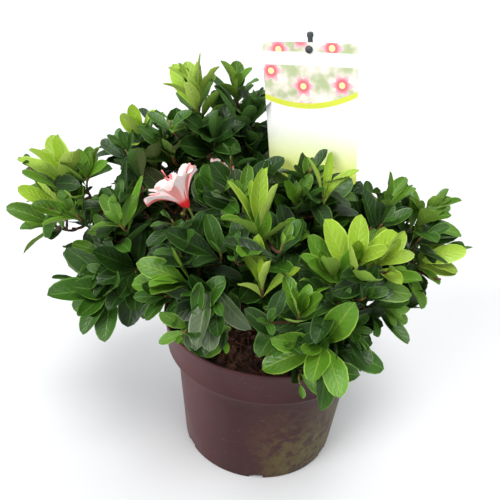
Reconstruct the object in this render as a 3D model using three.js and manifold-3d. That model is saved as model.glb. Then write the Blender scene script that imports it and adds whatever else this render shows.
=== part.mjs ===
// A young azalea shrub in its nursery pot, with a plain plant label on a thin stick.
// Millimetres, +Z up. The origin is the middle of the pot's flat underside.
// The side that the label faces is -Y, and the long left bough reaches towards -X.

import * as THREE from 'three';
import { mergeVertices } from 'three/addons/utils/BufferGeometryUtils.js';
import Module from 'manifold-3d';

const wasm = await Module();
wasm.setup();

// Clearance between neighbouring pieces.
const GAP = 0.3;

// Nursery pot: a thin tapered wall with a wider rim band and drainage notches in its foot.
const POT = {
  height: 140,
  rimRadius: 95,
  bandHeight: 34,
  bandFootRadius: 91,
  bodyTopRadius: 83,
  baseRadius: 73,
  wall: 2.4,
  floor: 3,
  footEdge: 1,
  lipEdge: 0.8,
  sides: 32,
  notches: 6,
  notchWidth: 13,
  notchHeight: 4.5,
  notchDepth: 9,
};

// Potting mix, filled to a little below the rim and slightly crowned.
const MIX = { level: 127, crown: 3, crownRadius: 20, shoulderRadius: 50 };

// Short trunk, from its flat cut on the mix up to where the boughs leave it.
const TRUNK = {
  footRadius: 12,
  neckRadius: 7.5,
  tipRadius: 6,
  flarePower: 4,
  height: 36,
  lean: -4,
  sides: 8,
  steps: 4,
};

// Limbs taper from foot to tip. A side limb grows from a main bough.
const BOUGH = { footRadius: 4.4, tipRadius: 2.7, sides: 6, steps: 4 };
const SIDE_BOUGH = { footRadius: 3, tipRadius: 2.2, sides: 5, steps: 3 };

// Twigs are three-sided. A leafy shoot is the last stretch of a twig, which runs a little
// past the place of its youngest leaf. The stem of a mass bends at its knee and ends at
// its hub, which lies between the limb's tip and the middle of the shoots.
const TWIG = {
  sides: 3,
  stemRadius: 3,
  forkRadius: 2.4,
  shootRadius: 1.6,
  tipRadius: 1.3,
  shootLength: 15,
  overrun: 3,
  hubShare: 0.5,
  kneeShare: 0.5,
};

// Leaves stand round the shoot by the golden angle, the youngest upright at its tip.
const LEAF = {
  perShoot: 7,
  length: 46,
  lengthSpread: 0.16,
  youngestShare: 0.85,
  widthShare: 0.52,
  widestAt: 0.6,
  thickness: 1.5,
  arch: 0.07,
  rootDepth: 0.3,
  clearFrom: 7,
  step: 3,
  firstTilt: 22,
  tiltStep: 9,
};
const GOLDEN_ANGLE = 137.5;
// Leaves of shoots that rise less than this hang, by this share of what is missing.
const DROOP = { below: 0.4, share: 0.5 };
// What is tried in turn for each leaf: turn and tilt in degrees, and length share.
const LEAF_TRIES = [
  [0, 0, 1],
  [22, 0, 1],
  [-22, 6, 1],
  [0, -12, 0.95],
  [40, 4, 0.9],
  [-40, -6, 0.85],
  [65, 10, 0.8],
  [90, 0, 0.8],
  [-75, 8, 0.72],
];

// A blossom is a funnel that opens into five lobes.
const BLOSSOM = {
  lobes: 5,
  footRadius: 1.8,
  throatRadius: 5,
  throatInnerShare: 0.6,
  throatHeight: 15,
  rimRadius: 20,
  rimHeight: 27,
  notchShare: 0.74,
  thickness: 1.6,
  stalkDepth: 3,
};

// Plant label: a rounded card on a thin stick that is pushed into the mix.
const LABEL = {
  foot: [49, 22],
  depth: 45,
  width: 76,
  height: 113,
  thickness: 0.8,
  corner: 6,
  cardTop: 380,
  cornerSteps: 4,
  stickRadius: 1.9,
  stickOver: 7,
  stickSides: 8,
  studBelowTop: 5,
  studRadius: 1.6,
  studInHead: 1,
  studHeadRadius: 3,
  studHeadFlatness: 0.5,
  holeRadius: 2.3,
  yaw: -23,
  lean: 3.5,
  roll: -8,
};

// Places along a stem or twig where the next twigs may fork off.
const FORK_SHARES = [0.15, 0.5, 0.8];

// The point that the crown spreads from. Shoots turn away from it and up.
const HEART = new THREE.Vector3(-8, 5, 165);
const SHOOT_TURN = { fromHeart: 0.7, fromMiddle: 0.35, up: 0.8 };
// Shoots stand apart by a spacing, in the inner share of their space, off its planes.
const SITES = { spacing: 33, share: 0.7, margin: 6, tries: 600 };
// Each space is eased by this factor so that leaf tips can reach the outline.
const EASE = 1.1;
// Where a limb ends: shares of the way from the middle of its space back to its foot,
// tried in steps until one lies inside by a margin, and then moved a little deeper.
const ENTRY = { first: 0.95, last: 0.2, step: 0.03, margin: 4, deeper: 0.12 };
// How far leaves and twigs keep off the pot, the mix and the card.
const KEEP_OFF = { pot: 1.5, mix: 2, crown: 1, cardEdge: 1, cardDepth: 9, sides: 24 };

// The masses of foliage: the middle and reach of each one's space, how many shoots it
// holds, the places of its leading shoots, how far shoots rise, the limb it grows on, and
// the seed of its branching.
const MASSES = [
  { name: 'foliage_left_tip', centre: [-171, -10, 248], reach: [45, 42, 47], shoots: 5, rise: 0.8,
    leads: [[-160, -15, 262], [-178, -12, 222]], limb: 'bough_left', seed: 13 },
  { name: 'foliage_left_low', centre: [-141, -20, 182], reach: [44, 44, 46], shoots: 5, rise: -0.1,
    leads: [[-147, -25, 202], [-120, -30, 190]], limb: 'bough_left_low', seed: 3 },
  { name: 'foliage_left_inner', centre: [-127, -20, 253], reach: [33, 44, 42], shoots: 3, rise: 0.8,
    leads: [[-127, -25, 252]], limb: 'bough_left_inner', seed: 10 },
  { name: 'foliage_blossom', centre: [-82, -20, 252], reach: [32, 38, 34], shoots: 2, rise: 0.6,
    leads: [], limb: 'bough_blossom', seed: 12,
    blossoms: [{ at: [-69, -17, 244], axis: [-0.72, -0.3, 0.62] }] },
  { name: 'foliage_top_left', centre: [-121, 50, 277], reach: [38, 44, 37], shoots: 4, rise: 0.9,
    leads: [[-121, 40, 280]], limb: 'bough_top_left', seed: 6 },
  { name: 'foliage_top_mid', centre: [-79, 40, 309], reach: [37, 44, 50], shoots: 5, rise: 1,
    leads: [[-78, 30, 322], [-72, 22, 297]], limb: 'bough_top', seed: 4 },
  { name: 'foliage_top_right', centre: [-40, 60, 307], reach: [33, 42, 50], shoots: 4, rise: 1,
    leads: [[-40, 50, 320]], limb: 'bough_top_right', seed: 7 },
  { name: 'foliage_centre', centre: [-38, -18, 257], reach: [38, 44, 44], shoots: 4, rise: 0.9,
    leads: [[-48, -30, 264], [-26, -22, 262]], limb: 'bough_centre', seed: 10 },
  { name: 'foliage_front_left', centre: [-61, -60, 226], reach: [46, 44, 42], shoots: 5, rise: 0.8,
    leads: [[-72, -70, 232], [-42, -72, 236]], limb: 'bough_front_left', seed: 8 },
  { name: 'foliage_front_low_left', centre: [-62, -85, 193], reach: [44, 38, 40], shoots: 4, rise: 0,
    leads: [[-82, -85, 202], [-44, -92, 204]], limb: 'bough_front_low_left', seed: 6 },
  { name: 'foliage_front_mid', centre: [-9, -62, 244], reach: [34, 44, 54], shoots: 4, rise: 1,
    leads: [[-11, -60, 262], [-8, -84, 222]], limb: 'bough_front_mid', seed: 1 },
  { name: 'foliage_label_front', centre: [28, -28, 267], reach: [44, 36, 42], shoots: 4, rise: 1,
    leads: [[14, -32, 264], [42, -32, 268]], limb: 'bough_label_front', seed: 2 },
  { name: 'foliage_right_upper', centre: [100, 10, 246], reach: [45, 44, 40], shoots: 5, rise: 0.8,
    leads: [[84, 8, 248], [116, 0, 248]], limb: 'bough_right', seed: 4 },
  { name: 'foliage_right_tip', centre: [131, -12, 205], reach: [40, 46, 44], shoots: 5, rise: 0.35,
    leads: [[128, -20, 214]], limb: 'bough_right_tip', seed: 7 },
  { name: 'foliage_right_front', centre: [60, -60, 236], reach: [41, 44, 42], shoots: 5, rise: 0.9,
    leads: [[52, -70, 244]], limb: 'bough_right_front', seed: 2 },
  { name: 'foliage_front_right', centre: [15, -95, 208], reach: [40, 38, 40], shoots: 4, rise: 0.5,
    leads: [[20, -100, 216]], limb: 'bough_front_right', seed: 7 },
  { name: 'foliage_front_low_right', centre: [47, -96, 169], reach: [39, 36, 46], shoots: 4, rise: 0,
    leads: [[40, -106, 182], [62, -92, 190]], limb: 'bough_front_low_right', seed: 5 },
  { name: 'foliage_right_low', centre: [97, -58, 175], reach: [38, 42, 42], shoots: 4, rise: 0,
    leads: [[92, -60, 188]], limb: 'bough_right_low', seed: 11 },
  { name: 'foliage_back_left', centre: [-132, 62, 212], reach: [46, 46, 46], shoots: 5, rise: 0.5,
    leads: [[-140, 66, 222]], limb: 'bough_back_left', seed: 4 },
  { name: 'foliage_back_mid', centre: [-62, 98, 226], reach: [50, 44, 50], shoots: 6, rise: 0.6,
    leads: [[-64, 108, 238]], limb: 'bough_back_mid', seed: 8 },
  { name: 'foliage_back', centre: [18, 98, 204], reach: [46, 46, 46], shoots: 5, rise: 0.5,
    leads: [[16, 108, 212]], limb: 'bough_back', seed: 11 },
  { name: 'foliage_back_right', centre: [84, 72, 188], reach: [46, 46, 42], shoots: 5, rise: 0.4,
    leads: [[92, 80, 194]], limb: 'bough_back_right', seed: 4 },
  { name: 'foliage_middle', centre: [34, 52, 226], reach: [40, 36, 38], shoots: 3, rise: 0.9,
    leads: [], limb: 'bough_middle', seed: 11 },
];

// The limbs: where each starts, on the trunk by height or on a main bough by its share of
// the length, and how far its middle lifts above the straight line to its mass.
const LIMBS = [
  { name: 'bough_left', height: 22, lift: 14 },
  { name: 'bough_front_left', height: 12, lift: 10 },
  { name: 'bough_front_mid', height: 24, lift: -6 },
  { name: 'bough_front_right', height: 14, lift: 12 },
  { name: 'bough_right', height: 20, lift: 8 },
  { name: 'bough_back_right', height: 12, lift: 12 },
  { name: 'bough_back_mid', height: 25, lift: 8 },
  { name: 'bough_top', height: 33, lift: -8 },
  { name: 'bough_left_low', on: 'bough_left', share: 0.72, lift: 6 },
  { name: 'bough_left_inner', on: 'bough_left', share: 0.6, lift: -4 },
  { name: 'bough_blossom', on: 'bough_left', share: 0.44, lift: -4 },
  { name: 'bough_top_left', on: 'bough_top', share: 0.55, lift: -4 },
  { name: 'bough_top_right', on: 'bough_top', share: 0.62, lift: -4 },
  { name: 'bough_centre', on: 'bough_top', share: 0.36, lift: -4 },
  { name: 'bough_front_low_left', on: 'bough_front_left', share: 0.66, lift: 5 },
  { name: 'bough_label_front', on: 'bough_front_mid', share: 0.6, lift: -3 },
  { name: 'bough_front_low_right', on: 'bough_front_right', share: 0.7, lift: 5 },
  { name: 'bough_right_front', on: 'bough_front_right', share: 0.45, lift: -4 },
  { name: 'bough_right_tip', on: 'bough_right', share: 0.7, lift: 4 },
  { name: 'bough_right_low', on: 'bough_right', share: 0.5, lift: 6 },
  { name: 'bough_back_left', on: 'bough_back_mid', share: 0.5, lift: 5 },
  { name: 'bough_back', on: 'bough_back_right', share: 0.55, lift: 4 },
  { name: 'bough_middle', on: 'bough_back_right', share: 0.3, lift: -3 },
];

// Colours and finishes.
const FINISH = {
  pot: { color: 0x574242, roughness: 0.42, metalness: 0 },
  mix: { color: 0x2b1d16, roughness: 0.95, metalness: 0 },
  bark: { color: 0x6b4a33, roughness: 0.85, metalness: 0 },
  leaf: { color: 0x2f5a25, roughness: 0.38, metalness: 0 },
  card: { color: 0xe9f2c8, roughness: 0.3, metalness: 0 },
  stick: { color: 0x3a4044, roughness: 0.5, metalness: 0 },
};

// Corners closer than this are one corner.
const MERGE_DISTANCE = 0.01;

const UP = new THREE.Vector3(0, 0, 1);
const COS_30 = Math.sqrt(3) / 2;
// A direction with more rise than this counts as upright.
const UPRIGHT = 0.9;

function seededRandom(seed) {
  let state = seed >>> 0;
  return () => {
    state = (Math.imul(state, 1664525) + 1013904223) >>> 0;
    return state / 4294967296;
  };
}

function vector(list) {
  return new THREE.Vector3(list[0], list[1], list[2]);
}

// Turns a geometry into a closed solid with its faces pointing out.
function solid(geometry) {
  const bare = geometry.clone();
  bare.deleteAttribute('normal');
  bare.deleteAttribute('uv');
  const merged = mergeVertices(bare, MERGE_DISTANCE);
  const place = merged.attributes.position.array;
  const index = merged.index.array;
  const triangles = [];
  let volume = 0;
  for (let i = 0; i < index.length; i += 3) {
    const [a, b, c] = [index[i], index[i + 1], index[i + 2]];
    if (a === b || b === c || c === a) continue;
    triangles.push([a, b, c]);
    const pa = vector(place.slice(a * 3, a * 3 + 3));
    const pb = vector(place.slice(b * 3, b * 3 + 3));
    const pc = vector(place.slice(c * 3, c * 3 + 3));
    volume += pa.dot(pb.cross(pc));
  }
  const facingOut = triangles.map(([a, b, c]) => (volume < 0 ? [a, c, b] : [a, b, c]));
  const mesh = new wasm.Mesh({
    numProp: 3,
    vertProperties: new Float32Array(place),
    triVerts: new Uint32Array(facingOut.flat()),
  });
  return new wasm.Manifold(mesh);
}

// Turns a solid back into a geometry.
function geometryOf(body) {
  const mesh = body.getMesh();
  const geometry = new THREE.BufferGeometry();
  geometry.setAttribute('position', new THREE.BufferAttribute(mesh.vertProperties, 3));
  geometry.setIndex(new THREE.BufferAttribute(mesh.triVerts, 1));
  geometry.computeVertexNormals();
  return geometry;
}

// Keeps the main body of a solid and drops loose scraps and sealed hollows.
function mainBody(body) {
  const bodies = body.decompose();
  return bodies.reduce((best, next) => (next.volume() > best.volume() ? next : best));
}

function touches(body, obstacle) {
  return body.intersect(obstacle).getMesh().triVerts.length > 0;
}

function joinAll(bodies) {
  return bodies.reduce((whole, next) => whole.add(next));
}

function namedMesh(name, geometry, finish) {
  const mesh = new THREE.Mesh(geometry, new THREE.MeshStandardMaterial(finish));
  mesh.name = name;
  return mesh;
}

// Revolves a profile of [radius, height] points about the Z axis.
function turned(profile, sides) {
  const points = profile.map(([radius, height]) => new THREE.Vector2(radius, height));
  return new THREE.LatheGeometry(points, sides).rotateX(Math.PI / 2);
}

// Wall radius of the pot's tapered body at a height below the rim band.
function bodyRadius(height) {
  const share = height / (POT.height - POT.bandHeight);
  return THREE.MathUtils.lerp(POT.baseRadius, POT.bodyTopRadius, share);
}

// Wall radius of the rim band at a height above the body.
function bandRadius(height) {
  const share = (height - POT.height + POT.bandHeight) / POT.bandHeight;
  return THREE.MathUtils.lerp(POT.bandFootRadius, POT.rimRadius, share);
}

function potSolid() {
  const bandFoot = POT.height - POT.bandHeight;
  const shelf = bandFoot + POT.wall;
  const profile = [
    [0, 0],
    [POT.baseRadius - POT.footEdge, 0],
    [POT.baseRadius, POT.footEdge],
    [bodyRadius(bandFoot), bandFoot],
    [POT.bandFootRadius, bandFoot],
    [POT.rimRadius, POT.height - POT.lipEdge],
    [POT.rimRadius - POT.lipEdge, POT.height],
    [POT.rimRadius - POT.wall, POT.height],
    [POT.bandFootRadius - POT.wall, shelf],
    [POT.bodyTopRadius - POT.wall, shelf],
    [bodyRadius(POT.floor) - POT.wall, POT.floor],
    [0, POT.floor],
  ];
  let pot = solid(turned(profile, POT.sides));
  for (let i = 0; i < POT.notches; i += 1) {
    const notch = new THREE.BoxGeometry(2 * POT.notchDepth, POT.notchWidth, 2 * POT.notchHeight);
    notch.translate(POT.baseRadius, 0, 0);
    notch.rotateZ(((i + 0.5) * 2 * Math.PI) / POT.notches);
    pot = pot.subtract(solid(notch));
  }
  return pot;
}

// Outline of the potting mix, shrunk or grown by an allowance.
function mixProfile(allowance) {
  const bandFoot = POT.height - POT.bandHeight;
  const shelf = bandFoot + POT.wall;
  const inner = POT.wall - allowance;
  const top = MIX.level + (allowance > 0 ? allowance : 0);
  return [
    [0, POT.floor - allowance],
    [bodyRadius(POT.floor) - inner, POT.floor - allowance],
    [bodyRadius(shelf) - inner, shelf - allowance],
    [bandRadius(shelf) - inner, shelf - allowance],
    [bandRadius(MIX.level) - inner, top],
    [MIX.shoulderRadius, top + MIX.crown / 2],
    [MIX.crownRadius, top + MIX.crown],
    [0, top + MIX.crown],
  ];
}

// A tapering limb along a curve, grown by an allowance.
function limbSolid(curve, size, allowance) {
  const geometry = new THREE.CylinderGeometry(1, 1, 1, size.sides, size.steps);
  const frames = curve.computeFrenetFrames(size.steps, false);
  const place = geometry.attributes.position;
  for (let i = 0; i < place.count; i += 1) {
    const share = place.getY(i) + 0.5;
    const step = Math.round(share * size.steps);
    const radius = THREE.MathUtils.lerp(size.footRadius, size.tipRadius, share) + allowance;
    const point = curve.getPointAt(share);
    point.addScaledVector(frames.normals[step], place.getX(i) * radius);
    point.addScaledVector(frames.binormals[step], place.getZ(i) * radius);
    point.addScaledVector(frames.tangents[step], (share - 0.5) * 2 * allowance);
    place.setXYZ(i, point.x, point.y, point.z);
  }
  return solid(geometry);
}

function trunkFoot() {
  return MIX.level + MIX.crown + GAP;
}

function trunkPoint(height) {
  const share = height / TRUNK.height;
  return new THREE.Vector3(TRUNK.lean * share * share, 0, trunkFoot() + height);
}

// The trunk flares at its foot, where it is cut flat.
function trunkSolid(allowance) {
  const geometry = new THREE.CylinderGeometry(1, 1, 1, TRUNK.sides, TRUNK.steps);
  const place = geometry.attributes.position;
  for (let i = 0; i < place.count; i += 1) {
    const share = place.getY(i) + 0.5;
    const flare = (TRUNK.footRadius - TRUNK.neckRadius) * Math.pow(1 - share, TRUNK.flarePower);
    const radius = THREE.MathUtils.lerp(TRUNK.neckRadius, TRUNK.tipRadius, share) + flare + allowance;
    const point = trunkPoint(share * TRUNK.height);
    point.z += (share - 0.5) * 2 * allowance;
    place.setXYZ(i, point.x + place.getX(i) * radius, point.y + place.getZ(i) * radius, point.z);
  }
  return solid(geometry);
}

// A three-sided twig through a few points, tapered from its foot to its tip.
function twigSolid(points, footRadius, tipRadius) {
  const last = points.length - 1;
  const geometry = new THREE.CylinderGeometry(1, 1, 1, TWIG.sides, last);
  const place = geometry.attributes.position;
  const whole = points[last].clone().sub(points[0]).normalize();
  const across = Math.abs(whole.z) > UPRIGHT ? new THREE.Vector3(1, 0, 0) : UP;
  for (let i = 0; i < place.count; i += 1) {
    const share = place.getY(i) + 0.5;
    const ring = Math.round(share * last);
    const before = points[Math.max(ring - 1, 0)];
    const after = points[Math.min(ring + 1, last)];
    const along = after.clone().sub(before).normalize();
    const side = new THREE.Vector3().crossVectors(along, across).normalize();
    const over = new THREE.Vector3().crossVectors(side, along).normalize();
    const radius = THREE.MathUtils.lerp(footRadius, tipRadius, share);
    const point = points[ring].clone();
    point.addScaledVector(side, place.getX(i) * radius);
    point.addScaledVector(over, place.getZ(i) * radius);
    place.setXYZ(i, point.x, point.y, point.z);
  }
  return solid(geometry);
}

// A blade with six faces: flat above, keeled below, and pointed at both ends.
// Its root is sunk past the point it grows from.
function bladeGeometry(from, direction, face, size) {
  const geometry = new THREE.CylinderGeometry(1, 1, 1, 3, 2);
  const side = new THREE.Vector3().crossVectors(direction, face).normalize();
  const over = new THREE.Vector3().crossVectors(side, direction).normalize();
  const place = geometry.attributes.position;
  for (let i = 0; i < place.count; i += 1) {
    const along = place.getY(i);
    const point = from.clone();
    if (Math.abs(along) < 0.25) {
      const raised = size.arch * size.length + (place.getZ(i) < 0 ? 0 : -size.thickness);
      point.addScaledVector(direction, size.length * size.widestAt);
      point.addScaledVector(side, (place.getX(i) / COS_30) * size.width * 0.5);
      point.addScaledVector(over, raised);
    } else {
      point.addScaledVector(direction, along > 0 ? size.length : -size.root);
    }
    place.setXYZ(i, point.x, point.y, point.z);
  }
  return geometry;
}

// Support distance of an ellipsoid along a direction.
function supportAlong(reach, direction) {
  return direction.clone().multiply(reach).length();
}

// The space of each mass: its ellipsoid, cut by planes halfway to each neighbour.
function spacesOf(masses) {
  return masses.map((mass) => {
    const centre = vector(mass.centre);
    const reach = vector(mass.reach).multiplyScalar(EASE);
    const planes = [];
    for (const other of masses) {
      if (other === mass) continue;
      const towards = vector(other.centre).sub(centre);
      const distance = towards.length();
      const direction = towards.normalize();
      const own = supportAlong(reach, direction);
      const theirs = supportAlong(vector(other.reach), direction) * EASE;
      if (own + theirs < distance) continue;
      const share = (distance * own) / (own + theirs);
      planes.push({ direction, limit: centre.dot(direction) + share - GAP });
    }
    return { centre, reach, planes };
  });
}

function isInside(space, point, margin) {
  const local = point.clone().sub(space.centre).divide(space.reach);
  if (local.length() > 1) return false;
  return space.planes.every((plane) => point.dot(plane.direction) < plane.limit - margin);
}

function geometryInside(space, geometry) {
  const place = geometry.attributes.position;
  for (let i = 0; i < place.count; i += 1) {
    const point = new THREE.Vector3().fromBufferAttribute(place, i);
    if (!isInside(space, point, 0)) return false;
  }
  return true;
}

// Places for the shoots of a mass: its leading shoots first, then seeded ones apart from them.
function shootSites(mass, space, random) {
  const sites = mass.leads.map(vector);
  for (let tries = 0; tries < SITES.tries && sites.length < mass.shoots; tries += 1) {
    const local = new THREE.Vector3(random() * 2 - 1, random() * 2 - 1, random() * 2 - 1);
    if (local.length() > 1) continue;
    const point = local.multiplyScalar(SITES.share).multiply(space.reach).add(space.centre);
    if (!isInside(space, point, SITES.margin)) continue;
    if (sites.some((site) => site.distanceTo(point) < SITES.spacing)) continue;
    sites.push(point);
  }
  return sites;
}

// Shoots turn away from the heart of the crown, away from the middle of the mass, and up.
function shootAxis(mass, space, site) {
  const axis = site.clone().sub(HEART).normalize().multiplyScalar(SHOOT_TURN.fromHeart);
  const offMiddle = site.clone().sub(space.centre).divide(space.reach);
  axis.addScaledVector(offMiddle, SHOOT_TURN.fromMiddle);
  axis.addScaledVector(UP, mass.rise * SHOOT_TURN.up);
  return axis.normalize();
}

// A direction that leans away from an axis by a tilt, turned round it by an angle.
function leaningDirection(axis, tilt, angle) {
  const across = Math.abs(axis.z) > UPRIGHT ? new THREE.Vector3(1, 0, 0) : UP.clone();
  const side = new THREE.Vector3().crossVectors(axis, across).normalize();
  side.applyAxisAngle(axis, angle);
  return axis.clone().multiplyScalar(Math.cos(tilt)).addScaledVector(side, Math.sin(tilt)).normalize();
}

// The size of a leaf blade of a given length.
function leafSize(length) {
  return {
    length,
    width: length * LEAF.widthShare,
    widestAt: LEAF.widestAt,
    thickness: LEAF.thickness,
    arch: LEAF.arch,
    root: LEAF.rootDepth,
  };
}

// The leaves of one shoot, the youngest at its tip. Each is turned a little, or shortened,
// until it stays in the space and clear of the limbs and of the other blades, or left out.
function shootLeaves(mass, space, site, axis, random, obstacle, blades) {
  const turn = random() * 2 * Math.PI;
  const leaves = [];
  for (let k = 0; k < LEAF.perShoot; k += 1) {
    const spread = 1 + (random() * 2 - 1) * LEAF.lengthSpread;
    const fullLength = LEAF.length * spread * (k === 0 ? LEAF.youngestShare : 1);
    const root = site.clone().addScaledVector(axis, -k * LEAF.step);
    for (const [nudge, tiltNudge, scale] of LEAF_TRIES) {
      const tilt = THREE.MathUtils.degToRad(LEAF.firstTilt + k * LEAF.tiltStep + tiltNudge);
      const angle = turn + THREE.MathUtils.degToRad(k * GOLDEN_ANGLE + nudge);
      const direction = leaningDirection(axis, tilt, angle);
      direction.z -= Math.max(0, DROOP.below - mass.rise) * DROOP.share;
      direction.normalize();
      const geometry = bladeGeometry(root, direction, axis, leafSize(fullLength * scale));
      if (!geometryInside(space, geometry)) continue;
      const outer = { ...leafSize(fullLength * scale), root: -LEAF.clearFrom };
      const blade = solid(bladeGeometry(root, direction, axis, outer));
      if (blades.some((other) => touches(blade, other))) continue;
      const leaf = solid(geometry);
      if (touches(leaf, obstacle)) continue;
      blades.push(blade);
      leaves.push(leaf);
      break;
    }
  }
  return leaves;
}

// A blossom at the end of its own short stalk.
function blossomParts(blossom, from) {
  const foot = vector(blossom.at);
  const axis = vector(blossom.axis).normalize();
  const profile = [
    [0, 0],
    [BLOSSOM.footRadius, 0],
    [BLOSSOM.throatRadius, BLOSSOM.throatHeight],
    [BLOSSOM.rimRadius, BLOSSOM.rimHeight],
    [BLOSSOM.rimRadius, BLOSSOM.rimHeight + BLOSSOM.thickness],
    [BLOSSOM.throatRadius * BLOSSOM.throatInnerShare, BLOSSOM.throatHeight + BLOSSOM.thickness],
    [0, BLOSSOM.throatHeight],
  ];
  const funnel = turned(profile, 2 * BLOSSOM.lobes);
  const place = funnel.attributes.position;
  for (let i = 0; i < place.count; i += 1) {
    const radius = Math.hypot(place.getX(i), place.getY(i));
    const angle = Math.atan2(place.getY(i), place.getX(i)) + Math.PI / 2;
    const corner = Math.round((angle * BLOSSOM.lobes) / Math.PI);
    const share = radius > BLOSSOM.rimRadius * 0.9 && corner % 2 !== 0 ? BLOSSOM.notchShare : 1;
    place.setXY(i, place.getX(i) * share, place.getY(i) * share);
  }
  funnel.applyQuaternion(new THREE.Quaternion().setFromUnitVectors(UP, axis));
  funnel.translate(foot.x, foot.y, foot.z);
  const stalkEnd = foot.clone().addScaledVector(axis, BLOSSOM.stalkDepth);
  return [twigSolid([from, stalkEnd], TWIG.shootRadius, TWIG.tipRadius), solid(funnel)];
}

// One mass: a stem from its limb's tip, forked twigs to each shoot, leaves on the shoots.
function massSolid(mass, space, limb, obstacle) {
  const random = seededRandom(mass.seed);
  const sites = shootSites(mass, space, random);
  const tip = limb.curve.getPointAt(1);
  const towards = limb.curve.getTangentAt(1);
  const start = tip.clone().addScaledVector(towards, GAP);
  const middle = sites.reduce((sum, site) => sum.add(site), new THREE.Vector3());
  middle.divideScalar(sites.length);
  const hub = start.clone().lerp(middle, TWIG.hubShare);
  const kneeLength = start.distanceTo(hub) * TWIG.kneeShare;
  const knee = start.clone().addScaledVector(towards, kneeLength);
  const parts = [twigSolid([start, knee, hub], TWIG.stemRadius, TWIG.forkRadius)];
  const forks = FORK_SHARES.map((share) => knee.clone().lerp(hub, share));
  const shoots = [];
  const ordered = [...sites].sort((a, b) => a.distanceTo(hub) - b.distanceTo(hub));
  for (const site of ordered) {
    const axis = shootAxis(mass, space, site);
    const neck = site.clone().addScaledVector(axis, -TWIG.shootLength);
    const end = site.clone().addScaledVector(axis, TWIG.overrun);
    forks.sort((a, b) => a.distanceTo(neck) - b.distanceTo(neck));
    const from = forks[0];
    const twig = twigSolid([from, neck, end], TWIG.shootRadius, TWIG.tipRadius);
    if (touches(twig, obstacle)) continue;
    parts.push(twig);
    shoots.push({ site, axis });
    forks.shift();
    forks.push(...FORK_SHARES.slice(1).map((share) => from.clone().lerp(neck, share)));
  }
  const blades = [...parts];
  for (const { site, axis } of shoots) {
    parts.push(...shootLeaves(mass, space, site, axis, random, obstacle, blades));
  }
  for (const blossom of mass.blossoms ?? []) {
    parts.push(...blossomParts(blossom, forks[0]));
  }
  return mainBody(joinAll(parts));
}

// The point where a limb enters the space of its mass.
function entryPoint(space, from) {
  const direction = from.clone().sub(space.centre);
  for (let share = ENTRY.first; share > ENTRY.last; share -= ENTRY.step) {
    const point = space.centre.clone().addScaledVector(direction, share);
    if (isInside(space, point, ENTRY.margin)) return point.lerp(space.centre, ENTRY.deeper);
  }
  return space.centre.clone().addScaledVector(direction, ENTRY.last);
}

// The curves and solids of all limbs. Each is cut clear of those that were made before it.
function growLimbs(spaces) {
  const made = new Map();
  let taken = trunkSolid(GAP);
  for (const limb of LIMBS) {
    const massIndex = MASSES.findIndex((mass) => mass.limb === limb.name);
    const parent = made.get(limb.on);
    const foot = parent ? parent.curve.getPointAt(limb.share) : trunkPoint(limb.height);
    const size = parent ? SIDE_BOUGH : BOUGH;
    const end = entryPoint(spaces[massIndex], foot);
    const bend = foot.clone().lerp(end, 0.5).addScaledVector(UP, limb.lift);
    const curve = new THREE.QuadraticBezierCurve3(foot, bend, end);
    const body = mainBody(limbSolid(curve, size, 0).subtract(taken));
    taken = taken.add(limbSolid(curve, size, GAP));
    made.set(limb.name, { curve, body });
  }
  return { made, taken };
}

// The card with its hole, standing in the XZ plane with the stick's axis behind it.
function cardGeometry() {
  const half = LABEL.width / 2;
  const corner = LABEL.corner;
  const shape = new THREE.Shape();
  shape.moveTo(-half + corner, 0);
  shape.lineTo(half - corner, 0);
  shape.absarc(half - corner, corner, corner, -Math.PI / 2, 0, false);
  shape.lineTo(half, LABEL.height - corner);
  shape.absarc(half - corner, LABEL.height - corner, corner, 0, Math.PI / 2, false);
  shape.lineTo(-half + corner, LABEL.height);
  shape.absarc(-half + corner, LABEL.height - corner, corner, Math.PI / 2, Math.PI, false);
  shape.lineTo(-half, corner);
  shape.absarc(-half + corner, corner, corner, Math.PI, 1.5 * Math.PI, false);
  const hole = new THREE.Path();
  hole.absarc(0, LABEL.height - LABEL.studBelowTop, LABEL.holeRadius, 0, 2 * Math.PI, true);
  shape.holes.push(hole);
  const card = new THREE.ExtrudeGeometry(shape, {
    depth: LABEL.thickness,
    bevelEnabled: false,
    curveSegments: LABEL.cornerSteps,
  });
  card.rotateX(Math.PI / 2);
  const bottom = LABEL.cardTop - LABEL.height - MIX.level;
  card.translate(0, -LABEL.stickRadius - GAP, bottom);
  return card;
}

// The stick and its stud, which holds the card by its hole.
function stickSolid(allowance) {
  const over = LABEL.cardTop + LABEL.stickOver - MIX.level;
  const radius = LABEL.stickRadius + allowance;
  const length = over + LABEL.depth + 2 * allowance;
  const rod = new THREE.CylinderGeometry(radius, radius, length, LABEL.stickSides).rotateX(Math.PI / 2);
  rod.translate(0, 0, (over - LABEL.depth) / 2);
  const studHeight = over - LABEL.stickOver - LABEL.studBelowTop;
  const cardFront = LABEL.stickRadius + GAP + LABEL.thickness;
  const studLength = cardFront + GAP + LABEL.studInHead;
  const studRadius = LABEL.studRadius;
  const stud = new THREE.CylinderGeometry(studRadius, studRadius, studLength, LABEL.stickSides);
  stud.translate(0, -studLength / 2, studHeight);
  const head = new THREE.SphereGeometry(LABEL.studHeadRadius, LABEL.stickSides, 6);
  head.scale(1, LABEL.studHeadFlatness, 1);
  const headDepth = LABEL.studHeadRadius * LABEL.studHeadFlatness;
  head.translate(0, -cardFront - GAP - headDepth, studHeight);
  return solid(rod).add(solid(stud)).add(solid(head));
}

const plant = new THREE.Group();

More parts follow.
